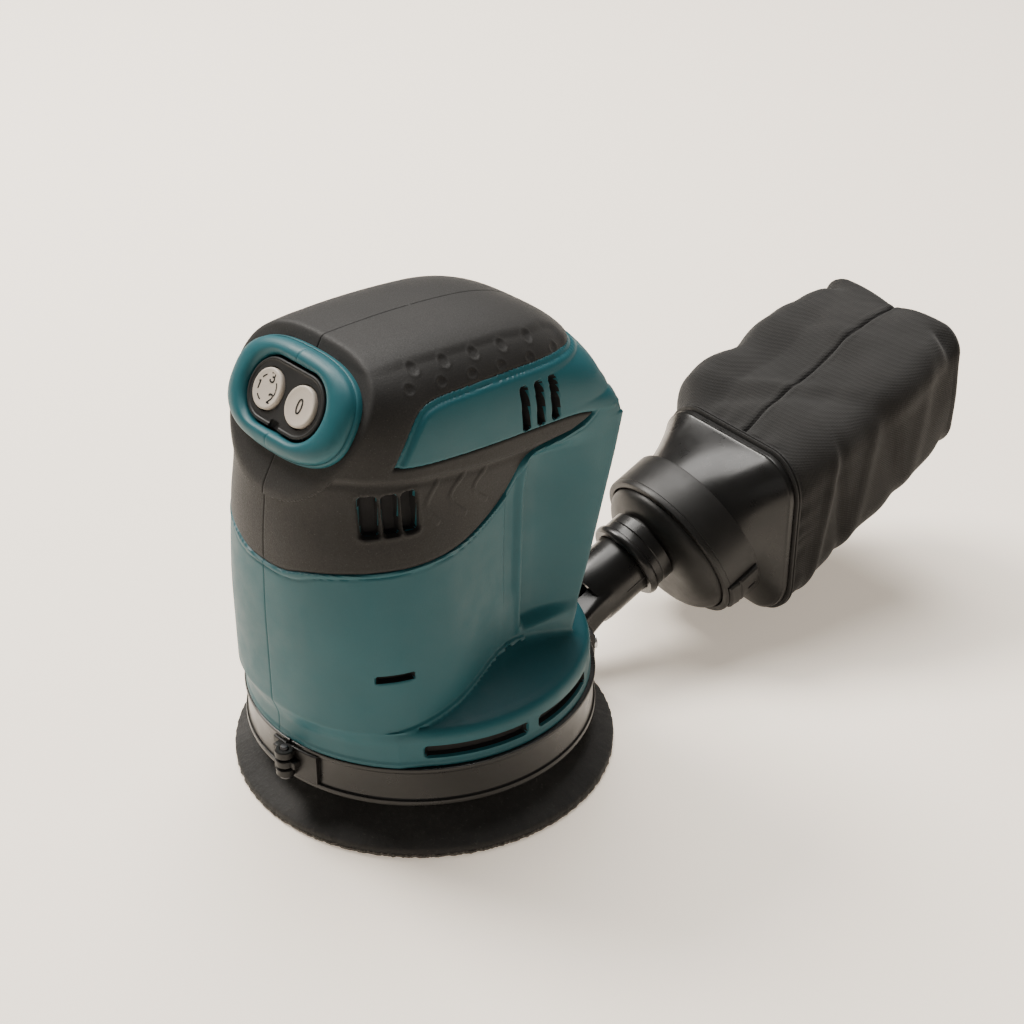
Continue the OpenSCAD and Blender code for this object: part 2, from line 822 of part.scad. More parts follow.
// Rubber seal inside the band, just clear of the pad
module brake_seal() {
    color(rubber) rotate_extrude($fn = 96)
        polygon([
            [band_r - band_wall - 3.4, foam_top_z + 2.2], [band_r - band_wall - 2, foam_top_z + 2.2],
            [band_r - band_wall - 0.06, band_low_z + 0.6], [band_r - band_wall - 0.06, band_low_z + 3],
            [band_r - band_wall - 1.6, band_low_z + 3], [band_r - band_wall - 3.4, foam_top_z + 3.6]
        ]);
}

// ---------------------------------------------------------------- pad

bolt_d = 8;
bolt_head_d = 13;
bolt_seat_z = 9;
boss_r = 11;

module pad_holes(z0, z1) {
    for (k = [0 : dust_holes - 1])
        rotate([0, 0, k * 360 / dust_holes]) translate([dust_pcd / 2, 0, z0])
            cylinder(h = z1 - z0, d = dust_hole_d);
}

spindle_low_z = foam_top_z + pad_plate_t;
spindle_h = pad_bearing_z + pad_bearing_w + 0.2 - spindle_low_z;
module pad_spindle() {
    color(steel) translate([orbit_r, 0, 0]) difference() {
        union() {
            translate([0, 0, spindle_low_z]) cylinder(h = 1.8, d = 18);
            translate([0, 0, spindle_low_z])
                cylinder(h = spindle_h, d = pad_bearing_bore - 2 * run_fit);
        }
        translate([0, 0, foam_top_z]) cylinder(h = 30, d = bolt_d);
    }
}

module pad_plate() {
    color(plastic) translate([orbit_r, 0, 0]) difference() {
        union() {
            translate([0, 0, foam_top_z]) cylinder(h = pad_plate_t, d = pad_plate_d);
            translate([0, 0, 3]) cylinder(h = foam_top_z - 2.9, r = boss_r);
        }
        translate([0, 0, 2]) cylinder(h = 20, d = bolt_d + 0.3);
        translate([0, 0, 2]) cylinder(h = bolt_seat_z - 2, d = bolt_head_d + 3);
        pad_holes(foam_top_z - 1, 20);
    }
}

module pad_foam() {
    color(rubber) translate([orbit_r, 0, 0]) difference() {
        rotate_extrude($fn = 120)
            polygon([
                [boss_r, hook_t], [pad_d / 2, hook_t], [pad_d / 2, pad_edge_z],
                [pad_plate_d / 2 + 0.6, foam_top_z], [boss_r, foam_top_z]
            ]);
        pad_holes(0, 20);
    }
}

module pad_hook_face() {
    color([0.3, 0.3, 0.3]) translate([orbit_r, 0, 0]) difference() {
        cylinder(h = hook_t, d = pad_d, $fn = 120);
        translate([0, 0, -1]) cylinder(h = 4, r = boss_r);
        pad_holes(-1, 4);
    }
}

module pad_washer() {
    color(steel) translate([orbit_r, 0, bolt_seat_z - 1.4]) difference() {
        cylinder(h = 1.4, d = bolt_head_d + 2);
        translate([0, 0, -1]) cylinder(h = 4, d = bolt_d + 0.3);
    }
}

module pad_bolt() {
    color(dark_steel) translate([orbit_r, 0, 0]) difference() {
        union() {
            translate([0, 0, 3.4]) cylinder(h = bolt_seat_z - 4.8, d = bolt_head_d);
            translate([0, 0, 4]) cylinder(h = pad_bearing_z + 3, d = bolt_d);
        }
        translate([0, 0, 2]) cylinder(h = 5, d = 5.8, $fn = 6);
    }
}

// ---------------------------------------------------------------- dust outlet

nozzle_z0 = -4.2;
// Distances along the nozzle's axis from the pad's axis
tube_start = 72;
tube_end = 108;
cuff_start = 92;
adapter_start = 101;
collar_start = 109.6;
collar_end = 125;
collar_drop = 9.4;

// Frame on the nozzle: Z along its axis, X level, Y downward
module nozzle_frame() {
    translate([0, 0, nozzle_z0]) rotate([0, 0, -nozzle_yaw]) rotate([nozzle_rise - 90, 0, 0]) children();
}
module collar_frame() {
    nozzle_frame() translate([0, collar_drop, 0]) children();
}

// Saddle that wraps the band around the duct
saddle_angle = 44;
module nozzle_saddle() {
    rotate([0, 0, 90 - nozzle_yaw - saddle_angle / 2]) translate([0, 0, duct_low_z - 2.4])
        rotate_extrude(angle = saddle_angle, $fn = 96)
            translate([band_r + 0.9, 0]) square([2.3, duct_top_z - duct_low_z + 4.4]);
}

module dust_nozzle() {
    color(plastic) difference() {
        union() {
            nozzle_frame() translate([0, 0, tube_start - 4])
                cylinder(h = tube_end - tube_start + 4, d = tube_d);
            difference() {
                hull() {
                    nozzle_frame() translate([0, 0, tube_start]) cylinder(h = 1, d = tube_d - 0.5, $fn = 24);
                    rotate([0, 0, -nozzle_yaw]) translate([-duct_w / 2 - 2, band_r - 2, duct_low_z - 2.2])
                        cube([duct_w + 4, 4, duct_top_z - duct_low_z + 4]);
                }
                cylinder(h = 60, r = band_r + 1.4);
            }
            nozzle_saddle();
        }
        nozzle_frame() translate([0, 0, tube_start - 12])
            cylinder(h = tube_end - tube_start + 20, d = tube_d - 2 * tube_wall);
        duct_cut(44, band_r + 5);
        nozzle_screw_holes();
    }
}

module nozzle_screw_at(side) {
    rotate([0, 0, -nozzle_yaw + side * 17.2])
        translate([0, band_r - band_wall, (duct_low_z + duct_top_z) / 2])
            rotate([-90, 0, 0]) children();
}
module nozzle_screw_holes() {
    for (side = [-1, 1]) nozzle_screw_at(side) cylinder(h = 10, d = 2.6);
}
module nozzle_screws() {
    color(steel)
        for (side = [-1, 1])
            nozzle_screw_at(side) {
                translate([0, 0, 3]) cylinder(h = 3, d = 2.6);
                translate([0, 0, 5.6]) cylinder(h = 1.6, d = 4.8);
            }
}

module bag_cuff() {
    color(rubber) nozzle_frame() difference() {
        union() {
            translate([0, 0, cuff_start]) cylinder(h = adapter_start + 1 - cuff_start, d = tube_d + 4.4);
            translate([0, 0, cuff_start + 0.6]) cylinder(h = 2.4, d = tube_d + 6.2);
        }
        translate([0, 0, cuff_start - 1]) cylinder(h = 30, d = tube_d + 2 * fit);
    }
}

module bag_adapter() {
    color(plastic) difference() {
        collar_frame() rotate_extrude()
            polygon([
                [0, adapter_start + 1], [15, adapter_start + 1.2], [22, adapter_start + 3.4],
                [collar_d / 2 - 2.6, collar_start - 0.4], [collar_d / 2 - 2.6, collar_end - 4],
                [collar_d / 2 - 5.2, collar_end - 4], [collar_d / 2 - 5.2, collar_start + 1.4],
                [20, adapter_start + 6],
                [0, adapter_start + 3.4]
            ]);
        nozzle_frame() translate([0, 0, adapter_start - 4]) cylinder(h = 30, d = tube_d + 2 * fit);
        collar_frame() latch_room(fit, latch_travel + fit);
    }
}

latch_w = 15;
latch_t = 2.2;
latch_angle = 22;
latch_travel = 0.8;
latch_h = collar_end - collar_start - 2;

// Room for the press tab: let out by grow at its sides, reaching deep further in than the tab
module latch_room(grow, deep) {
    rotate([0, 0, latch_angle])
        translate([collar_d / 2 - latch_t - deep, -latch_w / 2 - grow, collar_start + 1 - grow])
            cube([8 + deep, latch_w + 2 * grow, latch_h + 2 * grow]);
}

module bag_collar() {
    color(plastic) collar_frame() difference() {
        translate([0, 0, collar_start]) cylinder(h = collar_end - collar_start, d = collar_d);
        translate([0, 0, collar_start - 1]) cylinder(h = 30, d = collar_d - 5);
        latch_room(fit, 4);
    }
}

module bag_latch() {
    color(plastic) collar_frame() intersection() {
        latch_room(0, 0);
        translate([0, 0, collar_start]) cylinder(h = 30, d = collar_d + 3.4);
    }
}

// Bag: front and rear outlines stand upright, the rear one higher
bag_front_y = 133;
bag_front_low = 8;
bag_front_high = 68.5;
bag_rear_low = 49;
bag_rear_high = 98;
frame_front_y = bag_front_y - 7;

module bag_slab(y, low, high, w, r, t) {
    rotate([0, 0, -nozzle_yaw]) translate([0, y, (low + high) / 2]) rotate([-90, 0, 0])
        hull()
            for (sx = [-1, 1], sz = [-1, 1])
                translate([sx * (w / 2 - r), sz * ((high - low) / 2 - r), 0])
                    cylinder(h = t, r = r, $fn = 32);
}

module bag_frame() {
    color(plastic) difference() {
        hull() {
            collar_frame() translate([0, 0, collar_end]) cylinder(h = 1, d = collar_d - 8, $fn = 32);
            bag_slab(frame_front_y + 3.4, bag_front_low, bag_front_high, bag_w, 14, 2.4);
        }
        collar_frame() translate([0, 0, collar_start])
            cylinder(h = collar_end - collar_start + fit, d = collar_d + 2 * fit);
        hull() {
            collar_frame() translate([0, 0, collar_end - 1]) cylinder(h = 1, d = collar_d - 12, $fn = 32);
            bag_slab(frame_front_y + 5, bag_front_low + 3, bag_front_high - 3, bag_w - 6, 11, 8);
        }
    }
}

module bag_bead() {
    color(rubber) difference() {
        bag_slab(frame_front_y + 5.8, bag_front_low - 0.6, bag_front_high + 0.6, bag_w + 1.2, 14.4, 2.4);
        bag_slab(frame_front_y + 4, bag_front_low + 3, bag_front_high - 3, bag_w - 6, 11, 8);
    }
}

module bag_fabric() {
    color([0.13, 0.13, 0.13]) difference() {
        hull() {
            bag_slab(frame_front_y + 8.3, bag_front_low, bag_front_high, bag_w, 14, 1);
            bag_slab(bag_front_y + bag_len - 2, bag_rear_low, bag_rear_high, bag_w + 2, 8, 2);
        }
        hull() {
            bag_slab(
                frame_front_y + 7, bag_front_low + fabric_t, bag_front_high - fabric_t,
                bag_w - 2 * fabric_t, 12, 1
            );
            bag_slab(
                bag_front_y + bag_len - 3 - fabric_t, bag_rear_low + fabric_t, bag_rear_high - fabric_t,
                bag_w + 2 - 2 * fabric_t, 6, 1
            );
        }
    }
}

housing_left();
housing_right();
overmould_left();
overmould_right();
housing_screws();
switch_bezel();
speed_button();
stop_button();
switch_board();
control_module();
battery_holder();
battery_terminals();
power_leads();
motor_can();
motor_magnets();
armature_core();
armature_windings();
commutator();
brush_cap();
carbon_brushes();
motor_shaft();
upper_bearing();
lower_bearing();
bearing_bracket();
cooling_fan();
baffle_plate();
eccentric_hub();
pad_bearing();
bearing_circlip();
shroud_band();
band_clamp();
clamp_pin();
brake_seal();
pad_spindle();
pad_plate();
pad_foam();
pad_hook_face();
pad_washer();
pad_bolt();
dust_nozzle();
nozzle_screws();
bag_cuff();
bag_adapter();
bag_collar();
bag_latch();
bag_frame();
bag_bead();
bag_fabric();
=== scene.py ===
"""Random orbit sander with its dust bag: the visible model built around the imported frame.

Shapes are worked out in millimetres, in the frame of the CAD model: +Z up, -Y to the switch panel.
"""
import json
import math

import bmesh
import bpy
import numpy as np
from mathutils import Matrix, Vector


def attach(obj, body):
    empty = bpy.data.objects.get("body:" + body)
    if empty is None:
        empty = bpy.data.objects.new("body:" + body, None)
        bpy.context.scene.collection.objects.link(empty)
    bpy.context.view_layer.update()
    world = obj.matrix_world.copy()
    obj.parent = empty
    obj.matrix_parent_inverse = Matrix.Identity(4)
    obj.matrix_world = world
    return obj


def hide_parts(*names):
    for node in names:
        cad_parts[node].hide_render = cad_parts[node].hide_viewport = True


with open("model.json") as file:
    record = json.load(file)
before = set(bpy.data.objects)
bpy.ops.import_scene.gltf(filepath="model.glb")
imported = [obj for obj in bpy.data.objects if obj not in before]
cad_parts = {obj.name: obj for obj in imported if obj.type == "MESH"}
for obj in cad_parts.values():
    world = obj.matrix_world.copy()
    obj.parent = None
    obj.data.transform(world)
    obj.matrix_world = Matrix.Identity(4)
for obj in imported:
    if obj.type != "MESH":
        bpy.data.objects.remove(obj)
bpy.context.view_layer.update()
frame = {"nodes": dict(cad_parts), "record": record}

MM = 0.001
RNG = np.random.default_rng(7)


# ------------------------------------------------------------------ small maths

def clamp01(t):
    return np.clip(t, 0.0, 1.0)


def ease(t):
    c = clamp01(t)
    return c * c * (3 - 2 * c)


def mix(a, b, t):
    return a + (b - a) * t


def bell(t, width):
    """1 at t = 0, falling away over about width."""
    return np.exp(-((t / width) ** 2))


def turn(axis, degrees):
    return np.array(Matrix.Rotation(math.radians(degrees), 3, axis))


def smooth_min(a, b, k):
    h = np.maximum(k - np.abs(a - b), 0) / k
    return np.minimum(a, b) - h * h * k / 4


def smooth_max(a, b, k):
    return -smooth_min(-a, -b, k)


def chaikin(points, rounds=3):
    """Corner cutting of an open line, which keeps its two ends."""
    p = np.asarray(points, float)
    for _ in range(rounds):
        a, b = p[:-1], p[1:]
        cut_points = np.stack([0.75 * a + 0.25 * b, 0.25 * a + 0.75 * b], 1).reshape(-1, p.shape[1])
        p = np.vstack([p[:1], cut_points[1:-1], p[-1:]])
    return p


def line_distance(y, z, line):
    """Distance from points (y, z) to a polyline."""
    best = np.full(y.shape, 1e9)
    for (ay, az), (by, bz) in zip(line[:-1], line[1:]):
        dy, dz = by - ay, bz - az
        t = clamp01(((y - ay) * dy + (z - az) * dz) / max(dy * dy + dz * dz, 1e-9))
        best = np.minimum(best, np.hypot(y - ay - t * dy, z - az - t * dz))
    return best


def inside_outline(y, z, outline):
    """Whether points (y, z) lie in a closed outline."""
    hit = np.zeros(y.shape, bool)
    for (ay, az), (by, bz) in zip(outline, np.roll(outline, -1, 0)):
        spans = (az > z) != (bz > z)
        if abs(bz - az) > 1e-9:
            hit ^= spans & (y < ay + (z - az) * (by - ay) / (bz - az))
    return hit


def round_corners(points, radius, steps=4):
    """Closed outline with each corner rounded by one radius."""
    p = np.asarray(points, float)
    out = []
    for a, b, c in zip(np.roll(p, 1, 0), p, np.roll(p, -1, 0)):
        la, lc = np.linalg.norm(a - b), np.linalg.norm(c - b)
        r = min(radius, la * 0.48, lc * 0.48)
        start, end = b + (a - b) / la * r, b + (c - b) / lc * r
        for t in np.linspace(0, 1, steps + 1):
            out.append((1 - t) ** 2 * start + 2 * t * (1 - t) * b + t * t * end)
    return np.array(out)


# ------------------------------------------------------------------ mesh building

def new_object(name, points, faces):
    mesh = bpy.data.meshes.new(name)
    mesh.from_pydata((np.asarray(points, float) * MM).tolist(), [], faces)
    mesh.update()
    obj = bpy.data.objects.new(name, mesh)
    bpy.context.scene.collection.objects.link(obj)
    return obj


def face_outwards(obj):
    bm = bmesh.new()
    bm.from_mesh(obj.data)
    bmesh.ops.recalc_face_normals(bm, faces=bm.faces)
    bm.to_mesh(obj.data)
    bm.free()
    return obj


def shade(obj, sharp=38):
    obj.data.polygons.foreach_set("use_smooth", [True] * len(obj.data.polygons))
    obj.data.set_sharp_from_angle(angle=math.radians(sharp))


def loft_faces(rows, columns, closed_rows=False, closed_columns=True):
    faces = []
    for i in range(rows if closed_rows else rows - 1):
        k = (i + 1) % rows
        for j in range(columns if closed_columns else columns - 1):
            m = (j + 1) % columns
            faces.append((i * columns + j, i * columns + m, k * columns + m, k * columns + j))
    return faces


def loft(name, rings, closed_rows=False, caps=True):
    """Surface through rings of points, each ring closed; caps close the first and last ring."""
    rings = np.asarray(rings, float)
    rows, columns = rings.shape[:2]
    points = rings.reshape(-1, 3)
    faces = loft_faces(rows, columns, closed_rows)
    if caps and not closed_rows:
        for row in (0, rows - 1):
            centre = rings[row].mean(0)
            points = np.vstack([points, centre])
            hub = len(points) - 1
            faces += [(row * columns + j, row * columns + (j + 1) % columns, hub) for j in range(columns)]
    return face_outwards(new_object(name, points, faces))


def at_height(outline, height):
    """Flat outline lifted to one height."""
    return np.column_stack([outline, np.full(len(outline), height)])


def circle_points(n):
    a = np.linspace(0, 2 * np.pi, n, endpoint=False)
    return np.stack([np.cos(a), np.sin(a)], 1)


def lathe(name, profile, place, segments=160, closed=False):
    """Turned shape: profile points are (radius, height), place maps local points to the frame."""
    ring = circle_points(segments)
    rings = [place(at_height(ring * max(r, 0.01), h)) for r, h in profile]
    return loft(name, rings, closed_rows=closed, caps=not closed)


def apply_modifiers(obj):
    graph = bpy.context.evaluated_depsgraph_get()
    mesh = bpy.data.meshes.new_from_object(obj.evaluated_get(graph))
    obj.modifiers.clear()
    obj.data = mesh
    return obj


def combine(obj, tool, operation="DIFFERENCE"):
    """Boolean of two closed meshes; the tool is used up."""
    modifier = obj.modifiers.new("combine", "BOOLEAN")
    modifier.operation = operation
    modifier.solver = "MANIFOLD"
    modifier.object = tool
    apply_modifiers(obj)
    bpy.data.objects.remove(tool)


def join(objs, name):
    """One object holding several closed shells, with their materials."""
    bpy.ops.object.select_all(action="DESELECT")
    for o in objs:
        o.select_set(True)
    bpy.context.view_layer.objects.active = objs[0]
    bpy.ops.object.join()
    objs[0].name = name
    return objs[0]


def bevel(obj, width, segments=3, angle=30):
    modifier = obj.modifiers.new("bevel", "BEVEL")
    modifier.width = width * MM
    modifier.segments = segments
    modifier.limit_method = "ANGLE"
    modifier.angle_limit = math.radians(angle)
    return apply_modifiers(obj)


def block(name, low, high, place):
    (x0, y0, z0), (x1, y1, z1) = low, high
    ring = np.array([[x0, y0], [x1, y0], [x1, y1], [x0, y1]])
    rings = [place(at_height(ring, z)) for z in (z0, z1)]
    points = np.vstack(rings)
    faces = [(3, 2, 1, 0), (4, 5, 6, 7), (0, 1, 5, 4), (1, 2, 6, 5), (2, 3, 7, 6), (3, 0, 4, 7)]
    return face_outwards(new_object(name, points, faces))


def finish_piece(obj, name, body, materials, nodes=(), sharp=38):
    obj.name = name
    obj.data.name = name
    if not isinstance(materials, (list, tuple)):
        materials = [materials]
    slots = obj.data.materials
    for i, m in enumerate(materials):
        if i < len(slots):
            slots[i] = m
        else:
            slots.append(m)
    while len(slots) > len(materials):
        slots.pop()
    shade(obj, sharp)
    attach(obj, body)
    if nodes:
        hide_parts(*nodes)


# ------------------------------------------------------------------ materials

class Nodes:
    """Small helper around one material's node tree."""

    def __init__(self, name):
        self.material = bpy.data.materials.new(name)
        self.material.use_nodes = True
        self.tree = self.material.node_tree
        self.shader = self.tree.nodes["Principled BSDF"]
        self.coords = self.add("ShaderNodeTexCoord").outputs["Object"]

    def add(self, kind, **values):
        node = self.tree.nodes.new(kind)
        for key, value in values.items():
            setattr(node, key, value)
        return node

    def link(self, a, b):
        self.tree.links.new(a, b)

    def drive(self, **values):
        """Links values to the shader's inputs."""
        for key, value in values.items():
            self.link(value, self.shader.inputs[key.replace("_", " ")])

    def noise(self, scale, detail=3.0, roughness=0.55, stretch=(1, 1, 1)):
        """Noise on object coordinates; scale is in cycles per metre."""
        mapping = self.add("ShaderNodeMapping")
        mapping.inputs["Scale"].default_value = stretch
        self.link(self.coords, mapping.inputs["Vector"])
        node = self.add("ShaderNodeTexNoise")
        node.inputs["Scale"].default_value = scale
        node.inputs["Detail"].default_value = detail
        node.inputs["Roughness"].default_value = roughness
        self.link(mapping.outputs["Vector"], node.inputs["Vector"])
        return node.outputs["Fac"]

    def ramp(self, value, stops):
        """Colour ramp; stops are (position, colour) or (position, grey)."""
        node = self.add("ShaderNodeValToRGB")
        elements = node.color_ramp.elements
        while len(elements) < len(stops):
            elements.new(0.5)
        for element, (position, colour) in zip(elements, stops):
            element.position = position
            colour = (colour,) * 3 if np.isscalar(colour) else colour
            element.color = (*colour, 1)
        self.link(value, node.inputs["Fac"])
        return node.outputs["Color"]

    def blend(self, mode, factor, a, b):
        node = self.add("ShaderNodeMix", data_type="RGBA", blend_type=mode)
        if isinstance(factor, float):
            node.inputs["Factor"].default_value = factor
        else:
            self.link(factor, node.inputs["Factor"])
        self.link(a, node.inputs[6])
        self.link(b, node.inputs[7])
        return node.outputs[2]

    def math(self, operation, a, b):
        node = self.add("ShaderNodeMath", operation=operation)
        for socket, value in zip(node.inputs, (a, b)):
            if isinstance(value, (int, float)):
                socket.default_value = value
            else:
                self.link(value, socket)
        return node.outputs[0]

    def bump(self, heights):
        """Bumps one after another; heights are (value, distance in mm, strength)."""
        normal = None
        for value, distance, strength in heights:
            node = self.add("ShaderNodeBump")
            node.inputs["Distance"].default_value = distance * MM
            node.inputs["Strength"].default_value = strength
            self.link(value, node.inputs["Height"])
            if normal is not None:
                self.link(normal, node.inputs["Normal"])
            normal = node.outputs["Normal"]
        self.drive(Normal=normal)

    def set(self, **values):
        for key, value in values.items():
            self.shader.inputs[key.replace("_", " ")].default_value = value


def varied(colour, amount):
    return tuple(c * amount for c in colour)


def moulded_plastic(name, colour, roughness, grain=0.05, gloss_coat=0.0):
    """Injection-moulded plastic: fine spark grain, faint flow clouding, uneven polish."""
    n = Nodes(name)
    grains = n.noise(2600, 2, 0.6)
    base = n.ramp(n.noise(38, 4), [(0.3, varied(colour, 0.93)), (0.7, varied(colour, 1.06))])
    speckle = n.ramp(grains, [(0.35, 0.9), (0.65, 1.0)])
    polish = n.ramp(n.noise(150, 5), [(0.3, roughness - 0.05), (0.7, roughness + 0.06)])
    n.drive(Base_Color=n.blend("MULTIPLY", 0.5, base, speckle), Roughness=polish)
    n.bump([(grains, grain, 0.55), (n.noise(420, 2), grain * 0.8, 0.25)])
    n.set(Specular_IOR_Level=0.3)
    if gloss_coat:
        n.set(Coat_Weight=gloss_coat, Coat_Roughness=0.16)
    return n.material


def soft_rubber(name, colour, roughness=0.62):
    """Soft-touch overmould: matt, finely pitted, with light dust specks."""
    n = Nodes(name)
    pits = n.noise(1900, 3, 0.7)
    base = n.ramp(n.noise(55, 4), [(0.3, varied(colour, 0.85)), (0.7, varied(colour, 1.2))])
    specks = n.ramp(n.noise(3100, 1, 0.4), [(0.69, 0.0), (0.76, 1.0)])
    dust = n.add("ShaderNodeRGB")
    dust.outputs[0].default_value = (*varied(colour, 3.6), 1)
    rough = n.ramp(pits, [(0.3, roughness - 0.08), (0.7, roughness + 0.1)])
    n.drive(Base_Color=n.blend("MIX", specks, base, dust.outputs[0]), Roughness=rough)
    n.bump([(pits, 0.09, 0.8)])
    n.set(Sheen_Weight=0.06, Sheen_Roughness=0.5, Specular_IOR_Level=0.3)
    return n.material


def metal(name, colour, roughness, stretch=(1, 1, 14)):
    """Machined metal: fine tool marks and uneven oxide."""
    n = Nodes(name)
    marks = n.noise(900, 3, 0.6, stretch)
    base = n.ramp(n.noise(120, 4), [(0.3, varied(colour, 0.82)), (0.7, varied(colour, 1.05))])
    rough = n.ramp(marks, [(0.3, roughness - 0.08), (0.7, roughness + 0.12)])
    n.drive(Base_Color=base, Roughness=rough)
    n.bump([(marks, 0.02, 0.4)])
    n.set(Metallic=1.0)
    return n.material


def woven_cloth(name, colour):
    """Tightly woven dust-bag cloth: crossed threads, slubs, lint and a soft sheen."""
    n = Nodes(name)
    threads = []
    for direction in ("X", "Z", "Y"):
        wave = n.add("ShaderNodeTexWave", wave_type="BANDS", bands_direction=direction)
        for key, value in (("Scale", 420), ("Distortion", 1.2), ("Detail", 2), ("Detail Scale", 3)):
            wave.inputs[key].default_value = value
        n.link(n.coords, wave.inputs["Vector"])
        threads.append(wave.outputs["Fac"])
    weave = n.math("MULTIPLY", n.math("ADD", threads[0], threads[2]), threads[1])
    fuzz = n.noise(2400, 4, 0.7)
    base = n.ramp(n.noise(45, 5, 0.6), [(0.25, varied(colour, 0.7)), (0.75, varied(colour, 1.5))])
    worn = n.ramp(fuzz, [(0.35, 0.72), (0.7, 1.15)])
    rough = n.ramp(fuzz, [(0.2, 0.8), (0.8, 0.96)])
    n.drive(Base_Color=n.blend("MULTIPLY", 0.8, base, worn), Roughness=rough)
    n.bump([(weave, 0.12, 0.5), (fuzz, 0.12, 0.45), (n.noise(160, 3), 0.5, 0.3)])
    n.set(Sheen_Weight=0.12, Sheen_Roughness=0.55, Specular_IOR_Level=0.25)
    return n.material


def gritty_foam(name, colour):
    """Moulded polyurethane foam: coarse pits, worn grey patches and pale dust."""
    n = Nodes(name)
    pits = n.noise(900, 5, 0.75)
    base = n.ramp(n.noise(34, 5, 0.6), [(0.38, varied(colour, 0.7)), (0.72, varied(colour, 2.3))])
    dust = n.ramp(pits, [(0.4, 0.6), (0.58, 1.1), (0.7, 3.2)])
    rough = n.ramp(pits, [(0.3, 0.62), (0.7, 0.9)])
    n.drive(Base_Color=n.blend("MULTIPLY", 0.85, base, dust), Roughness=rough)
    n.bump([(pits, 0.35, 0.7), (n.noise(260, 4), 0.4, 0.35)])
    return n.material


def hook_cloth(name, colour):
    """Hook face: a dense field of tiny nylon hooks."""
    n = Nodes(name)
    cells = n.add("ShaderNodeTexVoronoi")
    cells.inputs["Scale"].default_value = 1100
    n.link(n.coords, cells.inputs["Vector"])
    base = n.ramp(cells.outputs["Distance"], [(0.1, varied(colour, 1.2)), (0.6, varied(colour, 0.5))])
    rough = n.ramp(n.noise(300, 3), [(0.3, 0.7), (0.7, 0.9)])
    n.drive(Base_Color=base, Roughness=rough)
    n.bump([(cells.outputs["Distance"], 0.5, 0.8)])
    return n.material


TEAL = moulded_plastic("teal_plastic", (0.009, 0.080, 0.098), 0.47, 0.045)
# Painted shade: near-black on the deep faces of the shallow vent pits, in place of the shade inside open
# vents
PIT_SHADE = moulded_plastic("painted_vent_shade", (0.008, 0.008, 0.009), 0.8)
OVERMOULD = soft_rubber("overmould_rubber", (0.0095, 0.0090, 0.0086))
GLOSS = moulded_plastic("black_gloss_plastic", (0.006, 0.0058, 0.0056), 0.30, 0.015, 0.08)
SATIN = moulded_plastic("black_satin_plastic", (0.0085, 0.0081, 0.0078), 0.42, 0.03)
PANEL = moulded_plastic("panel_plastic", (0.014, 0.014, 0.0142), 0.5, 0.03)
IVORY = moulded_plastic("ivory_plastic", (0.48, 0.43, 0.37), 0.42, 0.012)
INK = moulded_plastic("ink", (0.010, 0.010, 0.010), 0.55)
RUBBER = soft_rubber("bead_rubber", (0.0085, 0.008, 0.0078), 0.5)
CLOTH = woven_cloth("bag_cloth", (0.0115, 0.011, 0.0106))
FOAM = gritty_foam("pad_foam", (0.013, 0.0125, 0.012))
HOOK = hook_cloth("hook_face", (0.14, 0.13, 0.115))
BY_SLOT = {
    "teal_housing": TEAL,
    "black_overmould": OVERMOULD,
    "black_plastic": SATIN,
    "button_ivory": IVORY,
    "steel": metal("plated_steel", (0.55, 0.56, 0.57), 0.3),
    "dark_steel": metal("blackened_steel", (0.09, 0.09, 0.095), 0.42),
    "aluminium": metal("cast_aluminium", (0.6, 0.61, 0.62), 0.45, (1, 1, 1)),
    "brass": metal("brass", (0.72, 0.53, 0.22), 0.3),
    "copper": metal("enamelled_copper", (0.62, 0.27, 0.12), 0.34, (1, 1, 30)),
    "carbon": moulded_plastic("sintered_carbon", (0.03, 0.03, 0.032), 0.7, 0.06),
    "circuit_board": moulded_plastic("solder_mask", (0.01, 0.09, 0.035), 0.35, 0.02, 0.3),
    "module_case": moulded_plastic("module_case", (0.045, 0.045, 0.05), 0.5),
    "lead_insulation": soft_rubber("lead_insulation", (0.2, 0.012, 0.01), 0.45),
    "black_rubber": RUBBER,
    "pad_foam": FOAM,
    "hook_fabric": HOOK,
    "bag_fabric": CLOTH,
}


def paint_cad_nodes():
    """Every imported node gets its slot's procedural material."""
    slot_of = {part["node"]: part["material_slot"] for part in frame["record"]["subparts"]}
    for name, obj in frame["nodes"].items():
        obj.data.materials.clear()
        obj.data.materials.append(BY_SLOT[slot_of[name]])


# ------------------------------------------------------------------ body shape

SKIRT_R, SKIRT_BASE_Z, SHOULDER_Z, SHELF_Z = 54.0, 28.6, 41.0, 49.0
COLUMN_HW, WAIST_HW, FLANGE_HW, GRIP_HW = 41.0, 33.5, 37.5, 36.5
FRONT_REACH, REAR_REACH, CROWN_Z = 57.0, 51.5, 153.4
DOME_Z, DOME_TURN_Y = 116.0, 10.0
WAIST_Y, WIDEST_Y = 12.0, -22.0
WALL, SKIN = 2.6, 1.6
FACE_LEAN, FLANGE_LEAN = 31.0, 13.8
PANEL_AT = np.array([0, -46.2, 139.1])
FLANGE_AT = np.array([0, 32.6, 40.3])
PANEL_TURN = turn("X", 90 - FACE_LEAN)
FLANGE_TURN = turn("X", -90 - FLANGE_LEAN)
BAY_HW, BAY_DEPTH, BAY_LOW = 32.0, 9.0, -7.0


def on_panel(p):
    return np.asarray(p) @ PANEL_TURN.T + PANEL_AT


def on_flange(p):
    return np.asarray(p) @ FLANGE_TURN.T + FLANGE_AT


def upright(p):
    return np.asarray(p)


def front_y(z):
    return -FRONT_REACH + 3 * ease((z - 68) / 66)


def rear_y(z):
    return np.where(z < DOME_Z - 0.5, REAR_REACH + 7, REAR_REACH)


